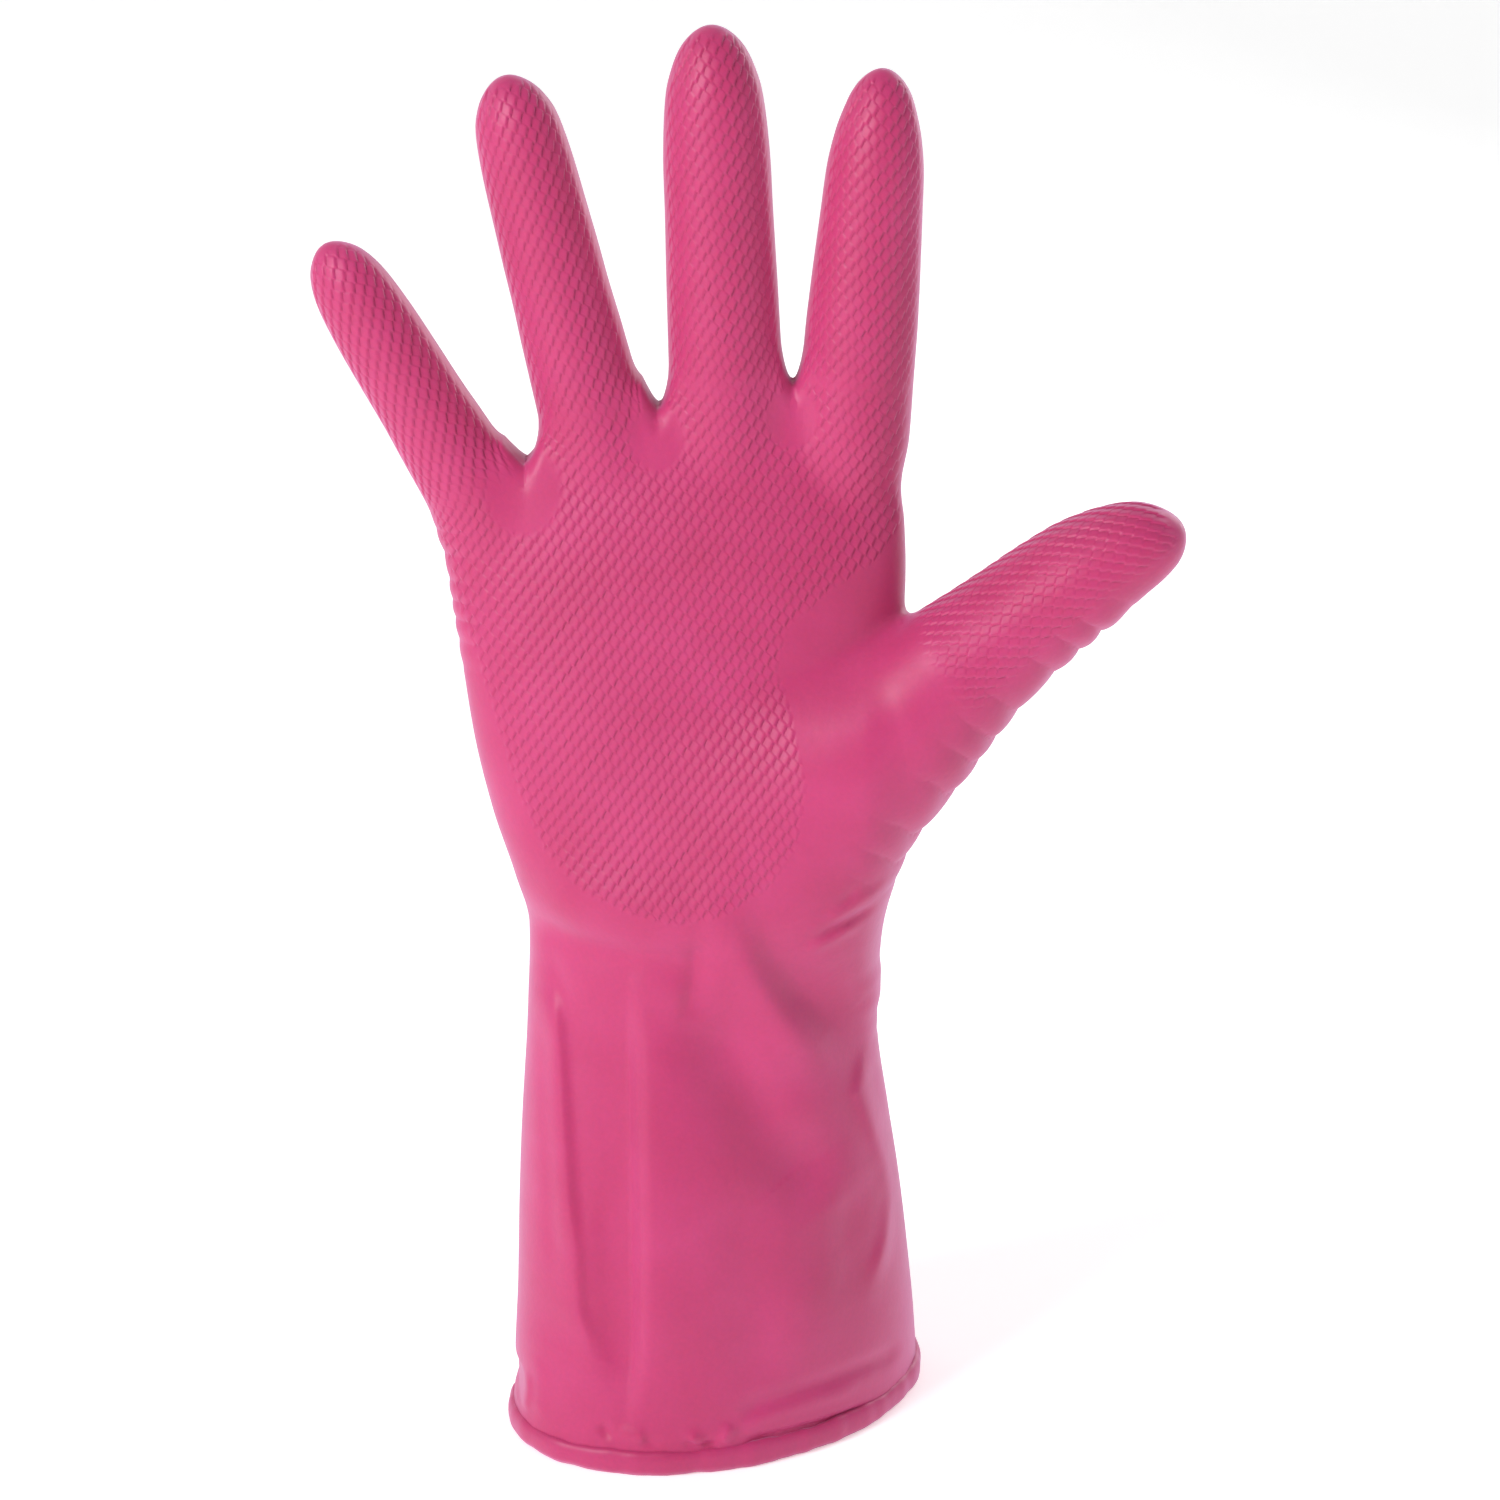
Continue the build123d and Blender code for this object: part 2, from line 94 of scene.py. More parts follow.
# Rounded notches between the fingers: x, z, rise to the left (-x), rise to the right (+x)
WEB_NOTCHES = [(-39.1, 212.7, 0.95, 2.6), (-11.8, 223.8, 2.0, 2.3), (15.9, 228.2, 2.2, 2.2)]

# profile: distance from the tip, radius. grip_end: how far from the tip its pattern runs
FINGERS = {
    "little": dict(base=(-50.3, -1.0, 207.2), tip=(-79.5, -3.5, 257.8), end=58.5, grip_end=60.0,
                   profile=[(4.9, 6.2), (9.0, 7.6), (13.0, 8.25), (21.2, 8.85), (29.3, 9.1),
                            (37.5, 9.3), (45.6, 9.75), (53.7, 10.15), (60.0, 10.5)]),
    "ring": dict(base=(-25.8, -1.0, 223.7), tip=(-42.2, -4.0, 291.5), end=72.0, grip_end=72.0,
                 profile=[(4.9, 6.65), (8.9, 8.3), (13.0, 8.95), (21.0, 9.5), (29.0, 9.75),
                          (37.0, 10.0), (45.0, 10.15), (53.0, 10.5), (61.0, 10.75),
                          (69.0, 11.0)]),
    "middle": dict(base=(2.1, -1.0, 229.0), tip=(-0.75, -4.0, 301.4), end=76.0, grip_end=74.0,
                   profile=[(4.9, 6.8), (8.8, 8.5), (12.7, 9.6), (20.6, 10.5), (28.6, 10.9),
                            (36.7, 11.0), (44.8, 11.2), (53.0, 11.4), (61.0, 11.55),
                            (69.0, 11.7)]),
    "index": dict(base=(29.0, -1.0, 229.0), tip=(33.8, -4.0, 292.9), end=70.0, grip_end=66.0,
                  profile=[(4.8, 5.95), (8.8, 7.5), (12.8, 8.65), (20.7, 9.9), (28.8, 10.35),
                           (36.9, 10.8), (45.0, 11.2), (53.2, 11.5), (61.5, 11.6)]),
}
FINGER_FLATNESS = 0.93           # depth of the section over its width
THUMB_FLATNESS = 0.97
THUMB_TIP = np.array((94.6, -18.9, 203.4))
THUMB_BASE = np.array((49.8, -10.0, 169.3))
# Thumb centre line from the palm outwards: x, y, z, radius
THUMB_LINE = np.array([
    (14.0, -3.0, 127.0, 17.5), (22.0, -5.0, 137.0, 18.4), (32.0, -7.5, 149.5, 18.4),
    (41.5, -9.0, 160.5, 17.4), (49.8, -10.0, 169.3, 15.4), (56.6, -11.2, 175.8, 13.9),
    (63.0, -12.4, 181.6, 13.0), (69.2, -13.6, 187.0, 12.4), (75.6, -14.9, 192.1, 11.8),
    (82.0, -16.2, 196.6, 10.5), (85.7, -17.0, 198.8, 9.5), (89.6, -17.8, 201.0, 7.8)])
THUMB_PAD_TURN = math.radians(42.0)    # from the palm's facing towards the index finger
THUMB_END = 140.0                # distance from the tip where the thumb fades into the palm


# ---------------------------------------------------------------------------
# small mathematics
# ---------------------------------------------------------------------------
def unit(vector):
    vector = np.asarray(vector, float)
    return vector / np.linalg.norm(vector)


def square_to(vector, axis):
    """Unit vector along the part of a vector that is square to an axis."""
    return unit(vector - axis * (vector @ axis))


def pchip(knots, values, at):
    """Monotone cubic interpolation, held at both ends."""
    knots, values = np.asarray(knots, float), np.asarray(values, float)
    step = np.diff(knots)
    slope = np.diff(values) / step
    tangent = np.zeros_like(values)
    for i in range(1, len(knots) - 1):
        if slope[i - 1] * slope[i] > 0:
            before, after = 2 * step[i] + step[i - 1], step[i] + 2 * step[i - 1]
            tangent[i] = (before + after) / (before / slope[i - 1] + after / slope[i])
    tangent[0], tangent[-1] = slope[0], slope[-1]
    held = np.clip(np.asarray(at, float), knots[0], knots[-1])
    k = np.clip(np.searchsorted(knots, held) - 1, 0, len(step) - 1)
    t = (held - knots[k]) / step[k]
    return ((2 * t**3 - 3 * t**2 + 1) * values[k] + (t**3 - 2 * t**2 + t) * step[k] * tangent[k]
            + (-2 * t**3 + 3 * t**2) * values[k + 1] + (t**3 - t**2) * step[k] * tangent[k + 1])


def smooth(zero_at, one_at, x):
    """Eased step from 0 to 1; it falls with x when zero_at is the larger."""
    t = np.clip((x - zero_at) / (one_at - zero_at), 0, 1)
    return t * t * (3 - 2 * t)


def blend_depth(a, b, width):
    """How much a rounded join between two fields departs from the sharp one."""
    overlap = np.maximum(width - np.abs(a - b), 0) / width
    return overlap * overlap * width * 0.25


def smooth_min(a, b, width):
    return np.minimum(a, b) - blend_depth(a, b, width)


def smooth_max(a, b, width):
    return np.maximum(a, b) + blend_depth(a, b, width)


# ---------------------------------------------------------------------------
# sampled form: trunk columns, finger frames, thumb frame
# ---------------------------------------------------------------------------
TRUNK_Z = np.arange(-12, 240.01, 0.5)
TRUNK_CX, TRUNK_CY, half_extent, TRUNK_MINOR, TRUNK_TURN, TRUNK_POWER = (
    pchip(TRUNK[:, 0], TRUNK[:, k], TRUNK_Z) for k in range(1, 7))
turn = np.radians(TRUNK_TURN)
TRUNK_MAJOR = np.sqrt(half_extent ** 2 - (TRUNK_MINOR * np.sin(turn)) ** 2) / np.cos(turn)

WEB_X = np.arange(-70, 60.01, 0.25)
WEB_Z = pchip(WEB[:, 0], WEB[:, 1], WEB_X) + 6.0
for notch_x, notch_z, rise_left, rise_right in WEB_NOTCHES:
    away = WEB_X - notch_x
    rise = np.where(away < 0, rise_left, rise_right)
    WEB_Z = np.minimum(WEB_Z, notch_z - 0.6 + rise * (np.sqrt(away * away + 1.4) - 0.7))

FINGER_END_SQ = 20.0             # squared radius where a finger fades inside the palm
THUMB_END_SQ = 1.0


def finger_frame(base, tip, end, grip_end, profile):
    """Axes of a finger (+across is towards +x) and its squared radius by depth from the tip."""
    tip = np.array(tip)
    along = unit(tip - np.array(base))
    palmward = square_to(np.array([0, -1.0, 0]), along)
    last_radius = profile[-1][1]
    knots = [0.0] + [depth for depth, _ in profile] + [end + 4, end + 26]
    squares = [0.0] + [radius ** 2 for _, radius in profile] + [(last_radius + 0.2) ** 2,
                                                                FINGER_END_SQ]
    depths = np.arange(0, knots[-1] + 0.01, 0.25)
    return SimpleNamespace(tip=tip, along=along, palmward=palmward,
                           across=np.cross(along, palmward), depths=depths,
                           squares=pchip(knots, squares, depths), last=knots[-1],
                           grip_end=grip_end)


FRAMES = {name: finger_frame(**spec) for name, spec in FINGERS.items()}

THUMB_ALONG = unit(THUMB_TIP - THUMB_BASE)
THUMB_UP = square_to(np.array([-THUMB_ALONG[2], 0, THUMB_ALONG[0]]), THUMB_ALONG)
thumb_front = square_to(np.array([0, -1.0, 0]), THUMB_ALONG)
THUMB_PAD = square_to(unit(math.cos(THUMB_PAD_TURN) * thumb_front
                           + math.sin(THUMB_PAD_TURN) * THUMB_UP), THUMB_ALONG)
THUMB_ACROSS = np.cross(THUMB_ALONG, THUMB_PAD)

THUMB_DEPTHS = np.arange(0, 150, 0.5)
line_depth = (THUMB_TIP - THUMB_LINE[:, :3]) @ THUMB_ALONG
by_depth = np.argsort(line_depth)
knots = np.r_[0, line_depth[by_depth]]
THUMB_SIDE, THUMB_FRONT = (
    pchip(knots, np.r_[0, ((THUMB_LINE[:, :3] - THUMB_TIP) @ axis)[by_depth]], THUMB_DEPTHS)
    for axis in (THUMB_ACROSS, THUMB_PAD))
THUMB_SQUARES = pchip(np.r_[knots, 124, THUMB_END],
                      np.r_[0, THUMB_LINE[by_depth, 3] ** 2, 150.0, THUMB_END_SQ], THUMB_DEPTHS)


# ---------------------------------------------------------------------------
# fields of the plain shapes
# ---------------------------------------------------------------------------
def finger_coords(points, finger):
    """Depth below the tip, offset across and offset towards the palm side."""
    offset = points - finger.tip
    return -(offset @ finger.along), offset @ finger.across, offset @ finger.palmward


def finger_square(depth, finger):
    return np.interp(depth, finger.depths, finger.squares)


def thumb_coords(points):
    """Depth below the tip, then offsets from the centre line, across and out of the pad."""
    offset = points - THUMB_TIP
    depth = -(offset @ THUMB_ALONG)
    side = offset @ THUMB_ACROSS - np.interp(depth, THUMB_DEPTHS, THUMB_SIDE)
    front = offset @ THUMB_PAD - np.interp(depth, THUMB_DEPTHS, THUMB_FRONT)
    return depth, side, front


def tube_field(depth, side, front, radius_sq, tip_slope, end, end_sq, end_slope, tip_soft,
               tip_length):
    """Field of a tapering tube. The squared radius runs on with tip_slope above the tip and
    falls with end_slope past the end; tip_soft tames the field over tip_length."""
    distance_sq = side * side + front * front
    radius_sq = np.where(depth < 0, tip_slope * depth, radius_sq)
    radius_sq = np.where(depth > end, end_sq - end_slope * (depth - end), radius_sq)
    scale = np.sqrt(4 * distance_sq + tip_soft * smooth(tip_length, 0, depth) + 1e-6)
    return (distance_sq - radius_sq) / scale


def finger_field(points, finger):
    depth, side, front = finger_coords(points, finger)
    return tube_field(depth, side, front / FINGER_FLATNESS, finger_square(depth, finger),
                      tip_slope=9.2, end=finger.last, end_sq=FINGER_END_SQ, end_slope=14,
                      tip_soft=80.0, tip_length=14)


def thumb_field(points):
    depth, side, front = thumb_coords(points)
    return tube_field(depth, side, front / THUMB_FLATNESS,
                      np.interp(depth, THUMB_DEPTHS, THUMB_SQUARES),
                      tip_slope=11.0, end=THUMB_END, end_sq=THUMB_END_SQ, end_slope=20,
                      tip_soft=110.0, tip_length=16)


def at_height(z, column):
    return np.interp(z, TRUNK_Z, column)


def trunk_field(points):
    """Turned superellipse sections, closed above by the palm's top edge."""
    x, y, z = points.T
    major, minor = at_height(z, TRUNK_MAJOR), at_height(z, TRUNK_MINOR)
    power = at_height(z, TRUNK_POWER)
    turn = np.radians(at_height(z, TRUNK_TURN))
    dx, dy = x - at_height(z, TRUNK_CX), y - at_height(z, TRUNK_CY)
    u = np.abs(dx * np.cos(turn) + dy * np.sin(turn)) / major + 1e-6
    v = np.abs(-dx * np.sin(turn) + dy * np.cos(turn)) / minor + 1e-6
    level = (u ** power + v ** power) ** (1 / power)
    slope_u = (u / level) ** (power - 1) / major
    slope_v = (v / level) ** (power - 1) / minor
    wall = (level - 1) / np.sqrt(slope_u * slope_u + slope_v * slope_v)
    top = (z - np.interp(x, WEB_X, WEB_Z)) / 1.9
    return smooth_max(wall, top, 3.6)


# ---------------------------------------------------------------------------
# folds, bulges and wrinkles
# ---------------------------------------------------------------------------
PALM, BACK, BOTH = "palm", "back", "both"
# Relief strokes: side of the glove, width left (-x) and right (+x) of a downward path
# (below and above one that runs to +x), height (positive stands proud), length of the
# fade at each end, path of (x, z)
STROKES = [
    # sharp vertical ridge left of the cuff's front, and the valley beside it
    (PALM, 3.6, 1.5, 1.6, 14, [(-36.6, 106.4), (-35.2, 100.6), (-34.3, 90.5), (-33.4, 75.9),
                               (-32.2, 58.5), (-30.7, 46.9), (-30.1, 34.9), (-28, 28.4),
                               (-27.4, 22)]),
    (PALM, 1.6, 1.6, -0.5, 10, [(-37.5, 98), (-36.6, 80), (-35.6, 60), (-34.6, 40)]),
    (PALM, 9.5, 1.5, -3.1, 20, [(-19.2, 106), (-19.3, 92), (-18.9, 75), (-18.6, 57),
                                (-18.6, 38), (-18.7, 24), (-20.3, 10.5)]),
    (PALM, 2.6, 2.2, 0.8, 8, [(-27.6, 58), (-27.4, 44), (-26.6, 30), (-24, 18)]),
    (PALM, 2.6, 7.0, 1.1, 14, [(-14.5, 102), (-13.8, 80), (-13.2, 50), (-13.5, 22)]),
    # heel of the palm over the wrist
    (PALM, 5.5, 5.0, 1.5, 8, [(-39, 128), (-30, 124.5), (-18, 122), (-6, 120.5), (6, 124)]),
    (PALM, 3.2, 2.4, -1.3, 9, [(-41, 116.5), (-30, 113), (-18, 111.5), (-8, 111.0), (0, 113)]),
    (PALM, 2.6, 2.2, -0.6, 5, [(-36, 111), (-34, 104), (-33, 97)]),
    (PALM, 1.3, 2.6, -1.15, 6, [(-3.8, 117.5), (-4.4, 112), (-5.0, 105), (-6.5, 97)]),
    (PALM, 2.6, 2.0, 0.55, 6, [(0.8, 119), (0.4, 110), (-0.6, 104)]),
    # S-shaped crease running from the palm's heel down under the thumb mount
    (PALM, 3.6, 2.8, 2.2, 18, [(3.2, 128), (3.8, 118.5), (6.6, 110.3), (12.4, 100.2),
                               (19.6, 90.5), (24.6, 80.6)]),
    (PALM, 2.8, 5.6, -3.2, 27, [(9.5, 127), (10.4, 118.5), (13.2, 111.3), (18.6, 102.2),
                                (25.4, 93), (30, 84.6)]),
    (PALM, 4.5, 4.5, 0.4, 6, [(20, 124), (21.5, 115), (25, 106)]),
    # broad diagonal hollow
    (PALM, 5.4, 5.0, -3.2, 16, [(-3.6, 106), (0.2, 95), (4.7, 84), (11.0, 73), (18.5, 64),
                                (23, 52)]),
    (PALM, 4.0, 5.0, 0.6, 10, [(10, 80), (16, 72), (24, 60), (27, 46)]),
    # small creases under the thumb mount
    (PALM, 1.1, 1.6, 1.15, 4, [(37, 126.5), (30, 123.6), (22, 119.5)]),
    (PALM, 1.0, 1.0, -1.15, 4, [(34, 121.8), (26, 118.4), (20, 115.6)]),
    (PALM, 0.9, 1.3, 0.95, 4, [(31, 118.6), (25, 116), (18, 112.6)]),
    (PALM, 0.8, 0.9, -0.6, 3, [(29.5, 128), (25.5, 122)]),
    # folded edge along the right of the cuff
    (PALM, 1.5, 2.4, 1.05, 9, [(34.6, 87), (32.0, 83), (31.0, 77), (33.6, 69), (37.4, 58),
                               (38.8, 50), (37.4, 42), (33.4, 31)]),
    (PALM, 2.4, 3.2, -0.7, 12, [(37.4, 86), (35.2, 79), (37.2, 71), (40.6, 60), (42, 50),
                                (41, 41), (38, 31)]),
    (BOTH, 2.6, 2.6, 0.9, 5, [(33.6, 104), (35, 96), (35.2, 90)]),
    (BOTH, 1.6, 1.6, -0.7, 3, [(36.4, 88), (37.2, 84)]),
    # the cuff's own soft waves
    (PALM, 4.4, 4.4, -0.85, 12, [(5.5, 66), (6.5, 48), (7.5, 28), (7.0, 14)]),
    (PALM, 5.0, 5.0, 0.6, 10, [(18, 44), (20, 30), (19, 18)]),
    (PALM, 2.6, 3.6, -0.8, 10, [(29, 60), (28, 44), (30, 30)]),
    # hem: crease over the bead, second crease, puckers and the pinched corner
    (PALM, 0.55, 0.8, -1.0, 5, [(4.6, 5.6), (11, 5.9), (17.8, 5.9), (25, 5.4), (33, 4.9)]),
    (PALM, 1.3, 1.8, -0.85, 5, [(3.6, 11.8), (10, 13.8), (17.8, 14.8), (26, 15.0),
                                (33.8, 14.3), (41.9, 12.2)]),
    (PALM, 1.4, 1.4, 0.5, 5, [(4.5, 9.6), (12, 11.2), (22, 11.8), (32, 10.8)]),
    (PALM, 1.1, 1.1, -1.2, 3, [(-43.0, 17), (-43.6, 12), (-44.4, 7)]),
    (PALM, 0.8, 0.9, 0.85, 3, [(-41.4, 17), (-41.8, 12), (-42.6, 7)]),
    (PALM, 1.6, 1.6, 0.55, 4, [(-38.5, 22), (-38.8, 14), (-39.6, 7.5)]),
    (PALM, 0.9, 0.9, -0.85, 2, [(-25.4, 10.6), (-22, 7.4)]),
    (PALM, 1.2, 1.2, 0.65, 2, [(-21.5, 9.6), (-17.5, 8.8), (-14.5, 8.9)]),
    (PALM, 0.8, 0.8, -0.55, 2, [(-16.5, 7.5), (-12, 7.6)]),
    (PALM, 1.0, 1.0, 0.85, 1.5, [(-6.2, 9.6), (-4.4, 7.6), (-2.4, 6.9)]),
    (PALM, 0.7, 0.7, -0.85, 1.5, [(-7.4, 7.4), (-4.0, 6.2), (0.4, 6.4)]),
    (PALM, 1.0, 1.2, 0.95, 1.5, [(3.4, 10.6), (1.8, 8.0), (0.9, 6.4)]),
    # back of the hand and cuff
    (BACK, 4.5, 2.2, -1.2, 14, [(-30, 100), (-26, 80), (-25, 55), (-27, 30)]),
    (BACK, 4.0, 5.0, 0.9, 14, [(-14, 104), (-10, 84), (-8, 60), (-9, 30)]),
    (BACK, 5.0, 3.0, -1.3, 14, [(10, 110), (6, 92), (8, 70), (12, 45)]),
    (BACK, 4.0, 4.0, 0.9, 14, [(28, 104), (24, 88), (24, 66), (27, 40)]),
    (BACK, 2.6, 3.4, -1.1, 10, [(-36, 118), (-20, 112), (0, 113), (18, 117), (32, 116)]),
    (BACK, 4.5, 4.5, 0.8, 10, [(-36, 127), (-18, 121), (2, 121), (20, 125)]),
    (BACK, 1.6, 1.6, -0.5, 8, [(-40, 14), (-20, 12), (0, 12.5), (20, 12), (40, 13.5)]),
]


def trace_path(x, z, path):
    """Distance to a path, lean to its right (-1 to 1), distance along it, and its length."""
    distance = np.full(len(x), 1e9)
    lean = np.zeros(len(x))
    along = np.zeros(len(x))
    legs = np.diff(path, axis=0)
    reached = np.r_[0, np.cumsum(np.hypot(legs[:, 0], legs[:, 1]))]
    for i, leg in enumerate(legs):
        length_sq = leg @ leg
        dx, dz = x - path[i, 0], z - path[i, 1]
        t = np.clip((dx * leg[0] + dz * leg[1]) / length_sq, 0, 1)
        away = np.hypot(dx - t * leg[0], dz - t * leg[1])
        cross = leg[0] * dz - leg[1] * dx
        closer = away < distance
        distance[closer] = away[closer]
        lean[closer] = (cross / (math.sqrt(length_sq) * away + 1e-6))[closer]
        along[closer] = (reached[i] + t * math.sqrt(length_sq))[closer]
    return distance, np.clip(lean, -1, 1), along, reached[-1]


def relief(points):
    """Outward height of the strokes."""
    x, y, z = points.T
    heights = np.zeros(len(points))
    palm_share = smooth(0.02, -0.40, (y - at_height(z, TRUNK_CY)) / at_height(z, TRUNK_MINOR))
    shares = {PALM: palm_share, BACK: 1 - palm_share, BOTH: np.ones(len(points))}
    for side, left, right, height, fade_length, path in STROKES:
        path = np.array(path, float)
        reach = 3.2 * max(left, right)
        low, high = path.min(0) - reach, path.max(0) + reach
        near = (x > low[0]) & (x < high[0]) & (z > low[1]) & (z < high[1])
        if not near.any():
            continue
        distance, lean, along, length = trace_path(x[near], z[near], path)
        width = 0.5 * (left + right) + 0.5 * (right - left) * lean
        bell = np.exp(-0.5 * (distance / width) ** 2)
        fade = smooth(-0.01, fade_length, along) * smooth(-0.01, fade_length, length - along)
        heights[near] += height * bell * (0.15 + 0.85 * fade) * shares[side][near]
    return heights


def wrinkles(points):
    """Compression bumps under the thumb and on the little finger side."""
    x, y, z = points.T
    # little finger side of the palm
    strength = smooth(-44, -54, x) * smooth(166, 174, z) * smooth(203, 196, z)
    phase = (z - 170.0) / 4.7 + 0.15 * np.sin(z * 0.31)
    heights = 0.36 * strength * (np.abs(np.sin(np.pi * phase)) - 0.45)
    # underside of the thumb and its mount; down is 1 on the underside
    depth, side, front = thumb_coords(points)
    down = -(side * (THUMB_UP @ THUMB_ACROSS) + front * (THUMB_UP @ THUMB_PAD)) / (
        np.hypot(side, front) + 1e-6)
    strength = (smooth(0.12, 0.90, down) * smooth(14, 24, depth) * smooth(100, 84, depth)
                * smooth(8, 20, x))
    phase = ((depth + 0.10 * (y + 12)) / 8.0 + 0.22 * np.sin(depth * 0.21)
             + 0.08 * np.sin(y * 0.5))
    heights += 1.15 * strength * (np.sqrt(np.abs(np.sin(np.pi * phase)) + 0.02) - 0.62)
    return heights


def field(points, detail=True):
    """Approximate signed distance to the whole glove."""
    little, ring, middle, index = (finger_field(points, f) for f in FRAMES.values())
    glove = smooth_min(little, ring, 2.2)
    glove = smooth_min(glove, smooth_min(middle, index, 2.0), 2.2)
    trunk = trunk_field(points)
    if detail:
        trunk = trunk - relief(points)
    glove = smooth_min(glove, trunk, 3.4)
    # the mount melts into the palm, the crotch of the thumb stays tight
    x, z = points[:, 0], points[:, 2]
    melt = 4.2 + 13.0 * smooth(180, 160, z) * smooth(46, 30, x) + 6.0 * smooth(172, 150, z)
    glove = smooth_min(glove, thumb_field(points), melt)
    if detail:
        glove = glove - wrinkles(points)
    return glove


def field_in_chunks(points, detail=True, size=400000):
    return np.concatenate([field(points[i:i + size], detail)
                           for i in range(0, len(points), size)])


def gradient(points, reach=0.12):
    corners = np.array([(1, -1, -1), (-1, -1, 1), (-1, 1, -1), (1, 1, 1)], float)
    total = np.zeros_like(points)
    for corner in corners:
        total += field_in_chunks(points + reach * corner)[:, None] * corner
    return total / (4 * reach)


def project(points, steps, longest=0.8):
    """Moves points onto the skin, by no more than `longest` a step."""
    for _ in range(steps):
        value = field_in_chunks(points)
        slope = gradient(points)
        move = (value / np.maximum((slope * slope).sum(1), 0.05))[:, None] * slope
        length = np.linalg.norm(move, axis=1, keepdims=True)
        points = points - move * np.minimum(1, longest / np.maximum(length, 1e-9))
    return points


# ---------------------------------------------------------------------------
# base mesh by surface nets
# ---------------------------------------------------------------------------
GRID_LOW = np.array([-92.0, -46.0, -6.0])
GRID_HIGH = np.array([102.0, 46.0, 306.0])
COARSE = 4                       # grid steps in one step of the coarse pass


def sample_grid(cell):
    """The field on a grid, exact only near the skin, where a coarse pass finds it."""
    shape = np.ceil((GRID_HIGH - GRID_LOW) / cell).astype(int) + 1
    coarse_shape = np.ceil(shape / COARSE).astype(int) + 1
    axes = [GRID_LOW[i] + np.arange(coarse_shape[i]) * cell * COARSE for i in range(3)]
    nodes = np.stack(np.meshgrid(*axes, indexing="ij"), -1).reshape(-1, 3)
    values = field_in_chunks(nodes, detail=False).reshape(coarse_shape)
    close = np.abs(values) < 2.2 * cell * COARSE
    near = close.copy()
    for axis in range(3):
        near |= np.roll(close, 1, axis) | np.roll(close, -1, axis)
    for axis in range(3):
        values = np.repeat(values, COARSE, axis)
        near = np.repeat(near, COARSE, axis)
    values = values[:shape[0], :shape[1], :shape[2]]
    near = near[:shape[0], :shape[1], :shape[2]]
    values[near] = field_in_chunks(GRID_LOW + np.argwhere(near) * cell)
    return values


def surface_nets(cell):
    """One point in each cell the skin crosses, one quad around each crossed grid edge."""
    values = sample_grid(cell)
    inside = values < 0
    size = values.shape
    count = np.zeros([k - 1 for k in size], np.int8)
    for i, j, k in np.ndindex(2, 2, 2):
        count += inside[i:size[0] - 1 + i, j:size[1] - 1 + j, k:size[2] - 1 + k]
    crossed = (count > 0) & (count < 8)
    cells = np.argwhere(crossed)
    number = -np.ones(crossed.shape, np.int64)
    number[crossed] = np.arange(len(cells))

    points = np.zeros((len(cells), 3))
    crossings = np.zeros(len(cells))
    for axis in range(3):
        others = [k for k in range(3) if k != axis]
        for i, j in np.ndindex(2, 2):
            corner = np.zeros(3, int)
            corner[others] = i, j
            low = cells + corner
            high = low.copy()
            high[:, axis] += 1
            at_low, at_high = values[tuple(low.T)], values[tuple(high.T)]
            cut = (at_low < 0) != (at_high < 0)
            t = np.where(cut, at_low / np.where(cut, at_low - at_high, 1), 0)
            place = low.astype(float)
            place[:, axis] += t
            points[cut] += place[cut]
            crossings[cut] += 1
    points = GRID_LOW + points / crossings[:, None] * cell

    quads = []
    for axis in range(3):
        ahead, behind = [slice(None)] * 3, [slice(None)] * 3
        behind[axis], ahead[axis] = slice(0, -1), slice(1, None)
        edges = np.argwhere(inside[tuple(behind)] != inside[tuple(ahead)])
        a, b = (axis + 1) % 3, (axis + 2) % 3
        whole = ((edges[:, a] > 0) & (edges[:, b] > 0)
                 & (edges[:, a] < size[a] - 1) & (edges[:, b] < size[b] - 1))
        edges = edges[whole]
        corners = []
        for i, j in ((1, 1), (0, 1), (0, 0), (1, 0)):
            around = edges.copy()
            around[:, a] -= i
            around[:, b] -= j
            corners.append(number[tuple(around.T)])
        quad = np.stack(corners, 1)
        flip = ~inside[tuple(edges.T)]
        quad[flip] = quad[flip][:, ::-1]
        quads.append(quad)
    return points, np.concatenate(quads)


def quad_edges(quads):
    """Directed edges, indexed by face, side, end."""
    return np.stack([quads, np.roll(quads, -1, 1)], 2)


def relax(points, quads, rounds):
    edges = quad_edges(quads).transpose(1, 0, 2).reshape(-1, 2)
    for _ in range(rounds):
        total = np.zeros_like(points)
        count = np.zeros(len(points))
        for here, there in ((0, 1), (1, 0)):
            np.add.at(total, edges[:, here], points[edges[:, there]])
            np.add.at(count, edges[:, here], 1)
        points = 0.4 * points + 0.6 * total / count[:, None]
        points = project(points, 1)
    return points


base_points, base_quads = surface_nets(BASE_CELL)
base_points = relax(base_points, base_quads, 2)
base_points = project(base_points, 1)
BASE_COUNT = len(base_points)


def edge_keys(edges):
    """One number per edge, the same for both directions."""
    ends = np.sort(edges, -1)
    return ends[..., 0] * BASE_COUNT + ends[..., 1]


def open_edges(quads):
    """Directed edges that belong to one quad only, and their keys."""
    edges = quad_edges(quads).reshape(-1, 2)
    keys = edge_keys(edges)
    _, inverse, uses = np.unique(keys, return_inverse=True, return_counts=True)
    alone = uses[inverse] == 1
    return edges[alone], keys[alone]


